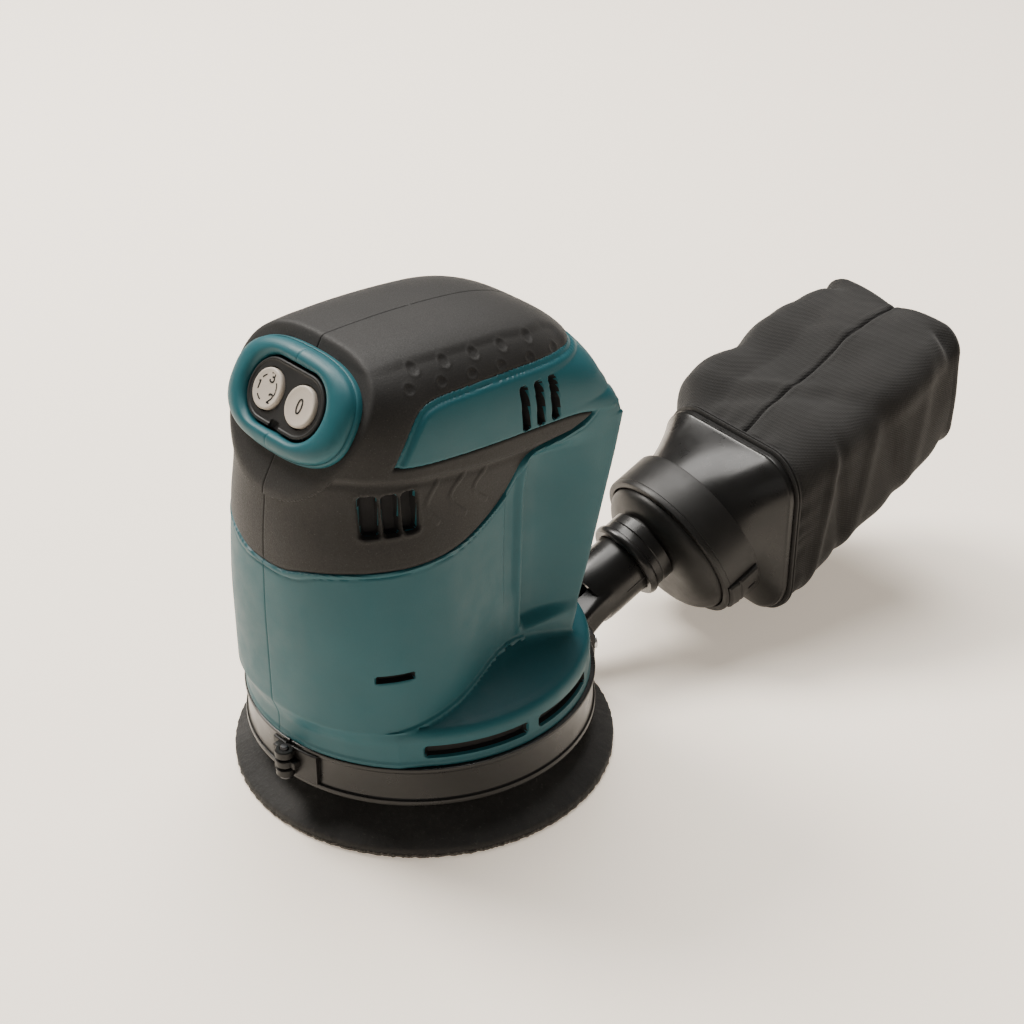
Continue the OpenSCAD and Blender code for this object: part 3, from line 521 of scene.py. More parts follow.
def crest_z(y):
    base = CROWN_Z - np.where(y > -20, 0.0016, 0.0009) * (y + 20) ** 2
    fall = clamp01((y - DOME_TURN_Y) / (REAR_REACH + 0.5 - DOME_TURN_Y)) ** 3
    return DOME_Z + (base - DOME_Z) * (1 - fall) ** (1 / 3)


def side_x(y, z):
    wide = mix(COLUMN_HW, GRIP_HW, ease((z - 62) / 60))
    waist = mix(WAIST_HW, GRIP_HW, ease((z - 96) / 26))
    u = clamp01((y - WIDEST_Y) / (front_y(z) - WIDEST_Y))
    ahead = wide * (1 - u**2.3) ** (1 / 2.3)
    middle = mix(wide, waist, ease((y - WIDEST_Y) / (WAIST_Y - WIDEST_Y)))
    behind = mix(waist, FLANGE_HW, clamp01((y - WAIST_Y) / 36) ** 1.4)
    return np.where(y < WIDEST_Y, ahead, np.where(y < WAIST_Y, middle, behind))


def shoulder(y, z):
    t = clamp01((z - DOME_Z) / np.maximum(crest_z(y) - DOME_Z, 0.1))
    return (1 - t**3.1) ** (1 / 3.1)


def rear_round(y, z):
    power = np.interp(z, [115.5, 119, 123, 129, 135], [24, 12, 6.3, 4.8, 2.7])
    u = clamp01((y - WAIST_Y) / (rear_y(z) - WAIST_Y))
    return (1 - u**power) ** (1 / power)


def in_column(x, y, z):
    half = side_x(y, z) * shoulder(y, z) * rear_round(y, z)
    return (y > front_y(z)) & (y < rear_y(z)) & (np.abs(x) < half)


def skirt_radius(z):
    """Radius of the skirt and its sloping shelf at height z."""
    rounded = SKIRT_R - 3 + 3 * np.sqrt(clamp01(1 - ((z - 37) / 4) ** 2))
    slope = (SKIRT_R - 3 - WAIST_HW) / (SHELF_Z - SHOULDER_Z)
    shelf = SKIRT_R - 3 - (z - SHOULDER_Z) * slope
    return np.where(z < 37, SKIRT_R, np.where(z < SHOULDER_Z, rounded, np.maximum(shelf, 5)))


RAY_CENTRE_Z = 100.0


def body_surface(angles, step, inset=0.0, base_z=SKIRT_BASE_Z, rear_inset=None):
    """Grid of points on the body: rows go up from the skirt and over the crown, angles run from the front."""
    rear_inset = inset if rear_inset is None else rear_inset
    low_z = np.arange(base_z, RAY_CENTRE_Z, step)
    lift = np.radians(np.linspace(0, 90, int(90 / step) + 2)[:-1])
    z0 = np.concatenate([low_z, np.full(len(lift), RAY_CENTRE_Z)])[:, None]
    e = np.concatenate([np.zeros(len(low_z)), lift])[:, None]
    a = np.radians(angles)[None, :]
    dx, dy, dz = np.sin(a) * np.cos(e), -np.cos(a) * np.cos(e), np.sin(e) + 0 * a
    low, high = np.zeros(dx.shape), np.full(dx.shape, 100.0)
    for _ in range(26):
        middle = (low + high) / 2
        inside = in_column(middle * dx, middle * dy, z0 + middle * dz)
        low, high = np.where(inside, middle, low), np.where(inside, high, middle)
    r = low - inset
    for turned, at, depth, blend_r in (
        (PANEL_TURN, PANEL_AT, 5.4 + inset, 1.4),
        (FLANGE_TURN, FLANGE_AT, rear_inset, 2.0),
    ):
        n = turned @ np.array([0, 0, 1.0])
        along = dy * n[1] + dz * n[2]
        gap = (at[1] * n[1] + (at[2] - z0) * n[2] - depth) / np.where(along > 0.02, along, 1)
        r = np.where(along > 0.02, smooth_min(r, gap, blend_r), r)
    skirt = skirt_radius(z0) - inset * WALL / (WALL + SKIN)
    foot = ease((z0 - 34.5) / 7)
    r = np.where((e == 0) & (r > skirt), mix(skirt, r, foot), r)
    fillet = 4.0
    r = np.where((e == 0) & (z0 < 70), smooth_max(r, skirt + 0 * a, fillet), r)
    r = np.maximum(r, 0.5)
    return np.stack([r * dx, r * dy, z0 + r * dz], -1)


def grid_normals(grid):
    """Outward normals of the grid, kept in the seam's plane along it."""
    down = np.gradient(grid, axis=0)
    across = np.gradient(grid, axis=1)
    n = np.cross(across, down)
    n /= np.maximum(np.linalg.norm(n, axis=-1, keepdims=True), 1e-9)
    flip = (n * (grid - np.array([0, 0, 90.0]))).sum(-1, keepdims=True) < 0
    n = np.where(flip, -n, n)
    for column in (0, -1):
        n[:, column, 0] = 0
        n[:, column] /= np.maximum(np.linalg.norm(n[:, column], axis=-1, keepdims=True), 1e-9)
    return n


def half_solid(name, grid):
    """Closed solid from a half grid: its outside, a flat seam side and a flat base."""
    rows, columns = grid.shape[:2]
    top = grid[-1].mean(0) * np.array([0, 1, 1]) + np.array([0, 0, 0.05])
    spine = np.column_stack([np.zeros(rows), np.zeros(rows), np.minimum(grid[:, 0, 2], RAY_CENTRE_Z)])
    level = int(np.argmax(np.isclose(spine[:, 2], RAY_CENTRE_Z)))
    points = np.vstack([grid.reshape(-1, 3), spine[: level + 1], top])
    hub = rows * columns
    peak = len(points) - 1
    faces = loft_faces(rows, columns, closed_columns=False)
    faces += [((rows - 1) * columns + j, (rows - 1) * columns + j + 1, peak) for j in range(columns - 1)]
    for i in range(rows - 1):
        s0, s1 = hub + min(i, level), hub + min(i + 1, level)
        for column, order in ((0, 1), (columns - 1, -1)):
            a, b = i * columns + column, (i + 1) * columns + column
            face = (a, b, s1, s0) if s0 != s1 else (a, b, s0)
            faces.append(face[::order])
    faces.append((hub + level, (rows - 1) * columns, peak))
    faces.append((hub + level, peak, rows * columns - 1))
    faces += [(j, j + 1, hub) for j in range(columns - 1)]
    return face_outwards(new_object(name, points, faces))


def whole_solid(name, grid):
    """Closed solid from a full turn of the grid."""
    rows, columns = grid.shape[:2]
    top = grid[-1].mean(0) + np.array([0, 0, 0.05])
    base = np.array([0, 0, grid[0, 0, 2]])
    points = np.vstack([grid.reshape(-1, 3), top, base])
    faces = loft_faces(rows, columns)
    last = (rows - 1) * columns
    faces += [(last + j, last + (j + 1) % columns, len(points) - 2) for j in range(columns)]
    faces += [(j, (j + 1) % columns, len(points) - 1) for j in range(columns)]
    return face_outwards(new_object(name, points, faces))


# Overmould's lower edge in the side view, from the front to beyond the tip, as Y and Z
LOWER_EDGE = chaikin([
    [-75, 89.4], [-57.5, 89.5], [-56, 90.2], [-54, 93], [-48.7, 94.6], [-40, 95.0], [-29, 94.6],
    [-14.5, 95.0], [-3, 97.2], [5.4, 101], [9.6, 106.4], [12.4, 112], [18, 113.6], [28, 114.6],
    [35, 116.2], [38.6, 119],
])
# Teal side panel: its lower edge, then its front and upper edge
PANEL_LOWER = chaikin([[-34.8, 125.9], [-20, 123.8], [-3, 122.2], [19, 121.2], [33, 120.6], [38.6, 119]])
PANEL_UPPER = chaikin([
    [-34.8, 125.9], [-31.5, 131], [-28, 136], [-23.6, 140.2], [-17, 141.4], [-4, 140.9], [12, 140.5],
    [28, 139.6], [36, 138.8], [80, 134],
])
BLACK_OUTLINE = np.vstack([LOWER_EDGE, [[41, 124], [80, 128], [80, 190], [-75, 190]]])
PANEL_OUTLINE = np.vstack([PANEL_LOWER, [[80, 115]], PANEL_UPPER[::-1]])
RING_DEPTH = 5.6
RING_HW, RING_HH, RING_LIP = 26.8, 15.8, 3.4


def black_zone(p):
    """Signed distance into the overmould's area, positive inside, then the distances to the side
    panel's upper and lower edge, and whether a point lies in that panel.
    """
    y, z = p[..., 1], p[..., 2]
    low = line_distance(y, z, LOWER_EDGE)
    low = np.where(inside_outline(y, z, BLACK_OUTLINE), low, -low)
    upper, lower = line_distance(y, z, PANEL_UPPER), line_distance(y, z, PANEL_LOWER)
    in_panel = inside_outline(y, z, PANEL_OUTLINE)
    panel = np.minimum(upper, lower) * np.where(in_panel, -1, 1)
    zone = np.minimum(np.minimum(low, panel), behind_ring_depth(p) + 0.5)
    return zone, upper, lower, in_panel


def bar_distance(u, v, width, height, corner):
    """Signed distance to a rounded upright bar, positive inside."""
    qx = np.abs(u) - width / 2 + corner
    qy = np.abs(v) - height / 2 + corner
    outside = np.hypot(np.maximum(qx, 0), np.maximum(qy, 0))
    return corner - outside - np.minimum(np.maximum(qx, qy), 0)


COLUMN_SLOTS = [(-41.7 + 5.6 * k, 111.8 - 0.1 * k) for k in range(3)]
GRIP_SLOTS = [(12.1 + 5.6 * k, 128.9 - 0.1 * k) for k in range(3)]
DIMPLES = [(-20 + 10.4 * k, 148.7 - 0.8 * k) for k in range(5)]
DIMPLES += [(-24.4 + 10.7 * k, 145.2 - 0.9 * k) for k in range(6)]
CHEVRONS = [
    [(-20.5, 117.6), (-25.4, 112.6), (-24.6, 109.6), (-21.6, 105.6)],
    [(-10.6, 116.4), (-16.8, 112.4), (-15.8, 108.6), (-11, 104)],
    [(-2.6, 114.8), (-7.6, 111.2), (-6.4, 108), (-2, 104.4)],
]
SLOT_RIM = 0.35
# Width, height and corner of the overmould's slots
COLUMN_RIM = (4.8, 12.4, 1.3)
# Y and Z of the fold above the column, and of the scooped grip's upper edge
FOLD_LINE = ([-60, -46, -36, -19, -3, 14, 30, 38], [122.5, 123.6, 122.6, 119.6, 116.8, 115.2, 116, 118.8])
SCOOP_LINE = ([-50, -21.5, -5, 14, 30, 36], [150.5, 151.0, 150.0, 148.7, 146.2, 143.6])


def slot_pits(y, z, places, width, height, corner, depth):
    """Depth of upright slots at each point."""
    pit = np.zeros(y.shape)
    for sy, sz in places:
        d = bar_distance(y - sy, z - sz, width, height, corner)
        pit = np.maximum(pit, ease((d + SLOT_RIM) / (2 * SLOT_RIM)) * depth)
    return pit


def seam_roll(x):
    """Small rounded edge where the two halves meet."""
    return -0.22 * bell(x, 0.22)


def teal_height(p):
    """How far the rigid shell stands out from the plain body surface."""
    x, y, z = p[..., 0], p[..., 1], p[..., 2]
    zone, upper, lower, in_panel = black_zone(p)
    q = -zone
    h = seam_roll(x)
    # under the overmould the shell steps in
    h = h - 1.5 * ease((zone + 0.25) / 0.7)
    # lip below the overmould's lower edge
    below = (q > -0.4) & ~in_panel & (z < 122)
    h = np.where(below, h + 0.22 * ease((q + 0.2) / 0.4) * (1 - ease((q - 1.0) / 0.5)), h)
    h = np.where(below, h - 0.2 * bell(q - 1.45, 0.3), h)
    # side panel: stepped ledge along its front and upper edge
    ledge = np.where(in_panel, 1 - ease((upper - 1.5) / 0.5), 0)
    h = h + np.where(in_panel, 0.35 - 0.9 * ledge - 0.3 * bell(upper - 2.1, 0.3), 0)
    h = h - np.where(in_panel, 0.4 * (1 - ease(lower / 0.7)), 0)
    # concave waist behind the column's rear edge
    tall = ease((z - 50) / 5) * (1 - ease((z - 108) / 6))
    bend = WAIST_Y + 0.9 + (z - 90) * 0.03
    scoop = ease((y - bend) / 3.6) * (1 - ease((y - bend - 7) / 21))
    h = h - 3.6 * tall * scoop
    h = h + 0.6 * tall * bell(y - bend + 0.5, 1.0)
    groove = ease((y - bend + 7.5) / 1.2) * (1 - ease((y - bend + 3.0) / 1.6)) * ease((z - 62) / 8)
    h = h - 0.7 * tall * groove
    # soft rib along the column's foot
    on_shelf = np.abs(np.hypot(x, y) - skirt_radius(z))
    h = h + 0.45 * bell(on_shelf - 2.2, 1.0) * ((z > 40.6) & (z < 50) & (y > -48) & (y < 14))
    # lower bead of the skirt
    h = h + 0.35 * (1 - ease((z - SKIRT_BASE_Z - 1.2) / 0.5)) * (z < 36) * (np.hypot(x, y) < 56)
    # vents
    return h - shell_pits(p)


def shell_pits(p):
    """Depth of every vent in the teal shell."""
    x, y, z = p[..., 0], p[..., 1], p[..., 2]
    pits = slot_pits(y, z, GRIP_SLOTS, 2.5, 12.6, 0.7, 3.4) * (x > 20)
    pits = np.maximum(pits, slot_pits(y, z, COLUMN_SLOTS, 4.2, 11.8, 1.0, 2.2) * (x > 20))
    return np.maximum(pits, skirt_vents(p))


# First and last angle, height, Z of the middle, and radius
VENTS = ((52, 87, 3.6, 33.6, SKIRT_R), (92, 121, 3.6, 33.6, SKIRT_R), (38, 49.5, 2.1, 60, 52))


def skirt_vents(p):
    """Two long slots round the skirt and a short dash above them."""
    x, y, z = p[..., 0], p[..., 1], p[..., 2]
    angle = np.degrees(np.arctan2(x, -y))
    pit = np.zeros(x.shape)
    for a0, a1, height, z0, radius in VENTS:
        middle, half = (a0 + a1) / 2, (a1 - a0) / 2
        along = np.radians(angle - middle) * radius
        d = bar_distance(along, z - z0, 2 * np.radians(half) * radius, height, height * 0.3)
        pit = np.maximum(pit, ease((d + SLOT_RIM) / (2 * SLOT_RIM)) * 2.3 * (np.hypot(x, y) < 60))
    return pit


def black_height(p):
    """How far the overmould stands out from the plain body surface."""
    x, y, z = p[..., 0], p[..., 1], p[..., 2]
    zone = black_zone(p)[0]
    h = seam_roll(x)
    h = h - 0.42 * (1 - clamp01(zone / 0.9)) ** 2
    h = h - 1.6 * ease((-zone) / 0.8)
    # rib above the column's soft fold, running into the tip
    fold_z = np.interp(y, *FOLD_LINE)
    beneath = fold_z - z
    side = (z < 133) * (behind_ring_depth(p) > 1.2)
    h = h - side * 0.75 * ease((beneath + 0.6) / 2.2) * (1 - ease((beneath - 9) / 16))
    h = h - side * 0.3 * bell(beneath - 1.6, 1.3)
    # scooped side of the grip, with its dimples
    top_line = np.interp(y, *SCOOP_LINE)
    side_of_grip = ease((top_line - z) / 1.8) * (1 - ease((y - 33) / 4)) * (x > 10) * (z > 128)
    h = h - 0.55 * side_of_grip * ease((y + 40) / 20)
    for dy, dz in DIMPLES:
        d = np.hypot(y - dy, (z - dz) * 1.35)
        h = h - (x > 8) * (0.25 * (1 - ease((d - 0.6) / 1.3)) - 0.1 * bell(d - 1.9, 0.4))
    for line in CHEVRONS:
        d = line_distance(y, z, chaikin(line, 2))
        h = h + (x > 20) * 0.2 * (1 - ease((d - 0.45) / 0.55))
    h = h - slot_pits(y, z, COLUMN_SLOTS, *COLUMN_RIM, 1.9) * (x > 15)
    rims = np.zeros(y.shape)
    for sy, sz in COLUMN_SLOTS:
        d = bar_distance(y - sy, z - sz, *COLUMN_RIM)
        rims = np.maximum(rims, bell(d + 0.9, 0.55))
    return h + 0.14 * rims * (x > 15)


def behind_ring_depth(p):
    """Distance behind the rear plane of the switch panel's ring."""
    return -((p - PANEL_AT) @ (PANEL_TURN @ np.array([0, 0, 1.0]))) - RING_DEPTH


HALF_ANGLES = np.concatenate([
    [0, 0.1, 0.22, 0.36], np.linspace(0.6, 179.4, 398), [179.64, 179.78, 179.9, 180],
])
FINE = 0.45
DARK_FROM = 0.55


def prism(name, outline, x0, x1):
    """Closed prism of a side-view outline between two X values."""
    rings = [[(x, y, z) for y, z in outline] for x in (x0, x1)]
    points = np.array(rings).reshape(-1, 3)
    n = len(outline)
    faces = loft_faces(2, n)
    faces += [tuple(range(n)), tuple(range(n, 2 * n))]
    return face_outwards(new_object(name, points, faces))


def teal_and_dark(obj):
    for material in (TEAL, PIT_SHADE):
        obj.data.materials.append(material)


def darken_pits(obj, pits):
    """Faces of the grid whose corners are deep on average take the second material, the near-black painted
    shade inside the vent pits.
    """
    corners = pits[:-1, :-1] + pits[1:, 1:] + pits[:-1, 1:] + pits[1:, :-1]
    for polygon, deep in zip(obj.data.polygons, (corners / 4 > DARK_FROM).ravel()):
        if deep:
            polygon.material_index = 1
    obj.data.update()


def battery_room():
    """Room for the battery behind the flange."""
    return bevel(block("bay", (-BAY_HW, -120, -BAY_DEPTH), (BAY_HW, BAY_LOW, 40), on_flange), 1.2)


def build_body():
    base = body_surface(HALF_ANGLES, FINE)
    normals = grid_normals(base)
    teal, black, pits = teal_height(base), black_height(base), shell_pits(base)
    cavity_angles = np.linspace(0, 360, 97)[:-1]
    for side, sign in (("left", -1), ("right", 1)):
        scale = np.array([sign, 1, 1])
        shell = half_solid(f"shell_{side}", (base + normals * teal[..., None]) * scale)
        teal_and_dark(shell)
        darken_pits(shell, pits)
        cavity = body_surface(cavity_angles, 2.6, WALL + SKIN + 1.6, SKIRT_BASE_Z - 3, BAY_DEPTH + WALL)
        combine(shell, whole_solid("cavity", cavity))
        combine(shell, battery_room())
        combine(shell, stadium_prism("opening", BEZEL_W + 0.8, BEZEL_H + 0.8, -24, 20))
        ring = ring_half(sign)
        teal_and_dark(ring)
        shell = join([shell, ring], f"housing_half_{side}")
        node = [f"housing_{side}"]
        finish_piece(shell, f"housing_half_{side}", "body", [TEAL, PIT_SHADE], node, 42)

        skin = half_solid(f"skin_{side}", (base + normals * black[..., None]) * scale)
        inner = body_surface(cavity_angles, 2.0, SKIN + 0.35, SKIRT_BASE_Z - 3, SKIN)
        combine(skin, whole_solid("inner", inner))
        combine(skin, prism("zone", wide_outline(), -90, 90), "INTERSECT")
        combine(skin, battery_room())
        combine(skin, stadium_prism("opening", 38, 24, -30, 30))
        finish_piece(skin, f"grip_{side}", "body", OVERMOULD, [f"overmould_{side}"], 42)


def wide_outline():
    """The overmould's outline let out by a little, so that its hidden edge lies under the shell."""
    lower = LOWER_EDGE + np.array([0, -1.1])
    return np.vstack([lower, [[42, 122], [80, 126], [80, 190], [-75, 190]]])


def stadium(width, height, steps=24):
    """Stadium outline, counter-clockwise from the right end's middle."""
    r, reach = height / 2, (width - height) / 2
    a = np.linspace(-np.pi / 2, np.pi / 2, steps + 1)
    right = np.column_stack([reach + r * np.cos(a), r * np.sin(a)])
    return np.vstack([right, -right])


def stadium_prism(name, width, height, z0, z1):
    outline = stadium(width, height)
    rings = [on_panel(at_height(outline, z)) for z in (z0, z1)]
    return loft(name, rings)


def ring_half(sign):
    """Rounded band round the switch panel, one half of it, closed at the seam."""
    angles = np.radians(np.linspace(-90, 90, 121))
    d = np.column_stack([np.cos(angles), np.sin(angles)])
    # outer edge: the body's own outline in the ring's rear plane
    low, high = np.zeros(len(d)), np.full(len(d), 45.0)
    for _ in range(26):
        middle = (low + high) / 2
        p = on_panel(at_height(d * middle[:, None], -RING_DEPTH))
        oval = (np.abs(d[:, 0]) * middle / RING_HW) ** 2.6 + (np.abs(d[:, 1]) * middle / RING_HH) ** 2.6
        inside = in_column(p[:, 0], p[:, 1], p[:, 2]) & (oval < 1)
        low, high = np.where(inside, middle, low), np.where(inside, high, middle)
    outer = low + 0.1
    # inner edge: the stadium opening
    r, reach = (BEZEL_H + 0.9) / 2, (BEZEL_W - BEZEL_H) / 2
    straight = r / np.maximum(np.abs(d[:, 1]), 1e-6)
    along = d[:, 0] * reach
    round_end = along + np.sqrt(np.maximum(along**2 - reach**2 + r**2, 0))
    inner = np.where(straight * np.abs(d[:, 0]) <= reach, straight, round_end)
    # from the opening to the outer edge: share of the way, and height over the panel
    profile = [(0, -12), (0, -2.2)]
    profile += [(0.30 * (1 - math.cos(t)), -2.2 + 2.2 * math.sin(t)) for t in np.linspace(0.2, 1.57, 8)]
    for t in np.linspace(0.12, 1.5, 14):
        profile.append((0.30 + 0.60 * math.sin(t), -RING_LIP * (1 - math.cos(t)) * 1.02))
    profile += [(0.905, -3.75), (0.92, -4.0), (0.935, -3.85), (0.96, -3.95), (0.985, -4.3), (1.0, -4.9)]
    profile += [(1.0, -RING_DEPTH - 0.6), (0.985, -RING_DEPTH - 1.6), (0.9, -12)]
    rings = []
    for share, height in profile:
        rings.append(at_height(d * mix(inner, outer, share)[:, None], height))
    rings = np.array(rings)
    rings[..., 0] = np.maximum(rings[..., 0], 0)
    # the edges at the seam roll in a little
    roll = np.array([0.16, 0.05] + [0] * (len(d) - 4) + [0.05, 0.16])
    rings[2:-3, :, 2] -= roll[None, :]
    section = rings.transpose(1, 0, 2) * np.array([sign, 1, 1])
    return loft("ring", on_panel(section))


# ------------------------------------------------------------------ switch panel

BEZEL_W, BEZEL_H = 33.5, 19.2
KEY_REACH, KEY_TOP = 7.5, -0.3


def rounded_square(width, height, corner, count):
    """Outline of a rounded rectangle at even angles, counter-clockwise from the right."""
    d = circle_points(count)
    low, high = np.zeros(count), np.full(count, max(width, height))
    for _ in range(30):
        middle = (low + high) / 2
        inside = bar_distance(d[:, 0] * middle, d[:, 1] * middle, width, height, corner) > 0
        low, high = np.where(inside, middle, low), np.where(inside, high, middle)
    return d * low[:, None]


def ribbon(name, line, width, place, z0, z1, closed=False):
    """Flat stroke of constant width along a line, standing from z0 to z1."""
    p = np.asarray(line, float)
    if closed:
        t = np.roll(p, -1, 0) - np.roll(p, 1, 0)
    else:
        t = np.gradient(p, axis=0)
    t /= np.linalg.norm(t, axis=1, keepdims=True)
    side = np.column_stack([-t[:, 1], t[:, 0]]) * width / 2
    rows = []
    for offset, z in ((side, z0), (-side, z0), (-side, z1), (side, z1)):
        rows.append(at_height(p + offset, z))
    rings = place(np.array(rows).transpose(1, 0, 2))
    return loft(name, rings, closed_rows=closed, caps=not closed)


def arc(radius, start, end, steps=14):
    a = np.radians(np.linspace(start, end, steps))
    return np.column_stack([radius * np.cos(a), radius * np.sin(a)])


DIGITS = {
    "1": [[(-0.55, 0.85), (0.0, 1.35), (0.0, -1.35)]],
    "2": [chaikin([(-0.75, 0.75), (-0.65, 1.4), (0.65, 1.45), (0.9, 0.6), (0.3, -0.2), (-0.8, -1.32)]),
          [(-0.85, -1.25), (0.88, -1.25)]],
    "3": [chaikin([(-0.75, 0.95), (-0.5, 1.45), (0.7, 1.4), (0.85, 0.45), (0.35, 0.08), (-0.2, 0.1)]),
          chaikin([(-0.2, 0.1), (0.55, 0.1), (0.98, -0.3), (0.8, -1.35), (-0.55, -1.5), (-0.85, -0.8)])],
}
INK_TOP = 0.05


def button(side, body, node, strokes):
    """Round key with a rolled edge and a shallow dish, and its printed marks."""
    place = lambda p: on_panel(np.asarray(p) + np.array([side * KEY_REACH, 0, KEY_TOP]))
    profile = [(0, -6.6), (2, -6.6), (2, -5.0), (6.75, -5.0), (6.8, -4.1), (6.02, -4.0), (6.02, -0.75)]
    profile += [(5.42 + 0.6 * math.cos(t), -0.75 + 0.6 * math.sin(t)) for t in np.linspace(0.2, 1.5, 8)]
    profile += [(5.1, -0.19), (4.7, -0.28), (3.6, -0.34), (1.8, -0.38), (0, -0.4)]
    key = lathe(f"key_{node}", profile, place)
    finish_piece(key, f"key_{node}", body, IVORY, [node])
    marks = [
        ribbon("mark", np.asarray(line, float), width, place, -0.45, -0.31 + INK_TOP, closed)
        for line, width, closed in strokes
    ]
    marks = join(marks, f"marks_{node}")
    finish_piece(marks, f"marks_{node}", body, INK)


def build_panel():
    rings = []
    edge = [
        (1.2, -7.2), (1.2, -4.4), (0.25, -4.2), (0.25, -1.75), (0.33, -1.42), (0.55, -1.22), (0.85, -1.15),
        (1.15, -1.2), (1.3, -1.36), (1.6, -1.42),
    ]
    edge += [(d, -1.42) for d in np.linspace(2.0, 9.3, 26)]
    for inset, z in edge:
        outline = stadium(BEZEL_W - 2 * inset, BEZEL_H - 2 * inset, 40)
        lift = 0.32 * bell(outline[:, 0], 2.2) * ease((inset - 1.2) / 1.4)
        rings.append(on_panel(np.column_stack([outline, z + lift])))
    bezel = loft("bezel", rings)
    for side in (-1, 1):
        place = lambda p: on_panel(np.asarray(p) + np.array([side * KEY_REACH, 0, 0]))
        well = [(0, -9), (6.9, -9), (6.9, -4.1), (6.28, -4.0), (6.28, -1.75), (6.6, -1.3), (6.7, 3), (0, 3)]
        combine(bezel, lathe("well", well, place))
    notch = bevel(block("notch", (-2.1, -12, -2.6), (2.1, -6.9, 2), on_panel), 0.9, 4)
    combine(bezel, notch)
    finish_piece(bezel, "switch_panel", "body", PANEL, ["switch_bezel"], 36)
    strokes = []
    for digit, at in (("3", 78), ("1", 180), ("2", -42)):
        centre = 3.55 * np.array([math.cos(math.radians(at)), math.sin(math.radians(at))])
        for line in DIGITS[digit]:
            strokes.append((np.asarray(line) * 0.98 + centre, 0.5, False))
    for middle, half in ((132, 14), (22, 18), (-8, 10), (-122, 16)):
        strokes.append((arc(3.9, middle - half, middle + half), 0.42, False))
    button(-1, "speed_key", "speed_button", strokes)
    oval = circle_points(48) * np.array([0.92, 2.05])
    button(1, "stop_key", "stop_button", [(oval, 0.48, True)])


# ------------------------------------------------------------------ band and clamp

BAND_R, PIN_REACH = 55.2, 58.4
CLAMP_TURN = turn("Z", 6)


def on_clamp(p):
    """Points given round the clamp's hinge pin."""
    return (np.asarray(p) + np.array([0, -PIN_REACH, 0])) @ CLAMP_TURN.T


def curved_plate(name, angles, profile, place=upright):
    """Plate bent round Z: profile points are (radius, height), angles in degrees from -Y towards +X."""
    a = np.radians(np.asarray(angles, float))
    r, z = np.array(profile).T
    rings = [np.column_stack([r * math.sin(t), -r * math.cos(t), z]) for t in a]
    return loft(name, place(np.array(rings)))


def rounded_section(r0, r1, z0, z1, corner, steps=5):
    return round_corners([(r0, z0), (r1, z0), (r1, z1), (r0, z1)], corner, steps)


def build_band():
    r = BAND_R
    profile = [
        (r - 1.9, 15.0), (r + 0.5, 15.0), (r + 0.75, 15.15), (r + 0.85, 15.45), (r + 0.85, 16.45),
        (r + 0.7, 16.75), (r + 0.3, 16.95), (r + 0.08, 17.2), (r, 17.6), (r, 26.3), (r + 0.08, 26.7),
        (r + 0.3, 27.0), (r + 0.55, 27.15), (r + 0.65, 27.45), (r + 0.65, 28.15), (r + 0.5, 28.45),
        (r + 0.2, 28.58), (r - 1.8, 28.58), (r - 2.15, 28.3), (r - 2.2, 15.3),
    ]
    band = lathe("band", profile, upright, 300, closed=True)
    combine(band, block("duct", (-12, 40, 18), (12, 60, 26), along_bag))
    combine(band, block("split", (-0.55, -10, 5), (0.55, 20, 40), on_clamp))
    finish_piece(band, "dust_band", "body", GLOSS, ["shroud_band"], 34)

    parts = []
    plates = ((7.0, 17.0, 16.9, 27.3), (-1.4, 4.3, 17.2, 21.1), (-1.4, 4.3, 24.2, 27.2))
    for a0, a1, z0, z1 in plates:
        section = rounded_section(54.9, 56.7, z0, z1, 0.6)
        parts.append(curved_plate("plate", np.linspace(a0, a1, 14), section))
    for z0, sign in ((17.8, -1), (21.05, 1), (24.3, -1)):
        z1 = z0 + 2.75
        ring = [
            (1.35, z0 + 0.2), (1.6, z0), (2.6, z0), (3.0, z0 + 0.35), (3.0, z1 - 0.35), (2.6, z1),
            (1.6, z1), (1.35, z1 - 0.2),
        ]
        parts.append(lathe("knuckle", ring, on_clamp, 48, closed=True))
        low, high = (1.5, 4.6) if sign > 0 else (-4.6, -1.5)
        parts.append(bevel(block("arm", (low, -0.6, z0 + 0.12), (high, 3.0, z1 - 0.12), on_clamp), 0.3))
    clamp = join(parts, "clamp")
    finish_piece(clamp, "clamp", "body", SATIN, ["band_clamp"], 34)
    profile = [
        (0, 16.5), (1.7, 16.5), (2.0, 16.75), (2.0, 17.2), (1.28, 17.3), (1.28, 27.5), (1.0, 27.9), (0, 28.0),
    ]
    pin = lathe("pin", profile, on_clamp, 40)
    finish_piece(pin, "hinge_pin", "body", BY_SLOT["dark_steel"], ["clamp_pin"])


# ------------------------------------------------------------------ dust outlet

BAG_ANGLE, NOZZLE_RISE = -5, 24.1
BAG_TURN = turn("Z", BAG_ANGLE)
NOZZLE_TURN = BAG_TURN @ turn("X", NOZZLE_RISE - 90)
NOZZLE_LOW = np.array([0, 0, -4.2])
COLLAR_DROP = np.array([0, 9.4, 0])


def on_nozzle(p):
    return np.asarray(p) @ NOZZLE_TURN.T + NOZZLE_LOW


def on_collar(p):
    return on_nozzle(np.asarray(p) + COLLAR_DROP)


def along_bag(p):
    """Points given as X, distance behind the axis, height."""
    return np.asarray(p) @ BAG_TURN.T


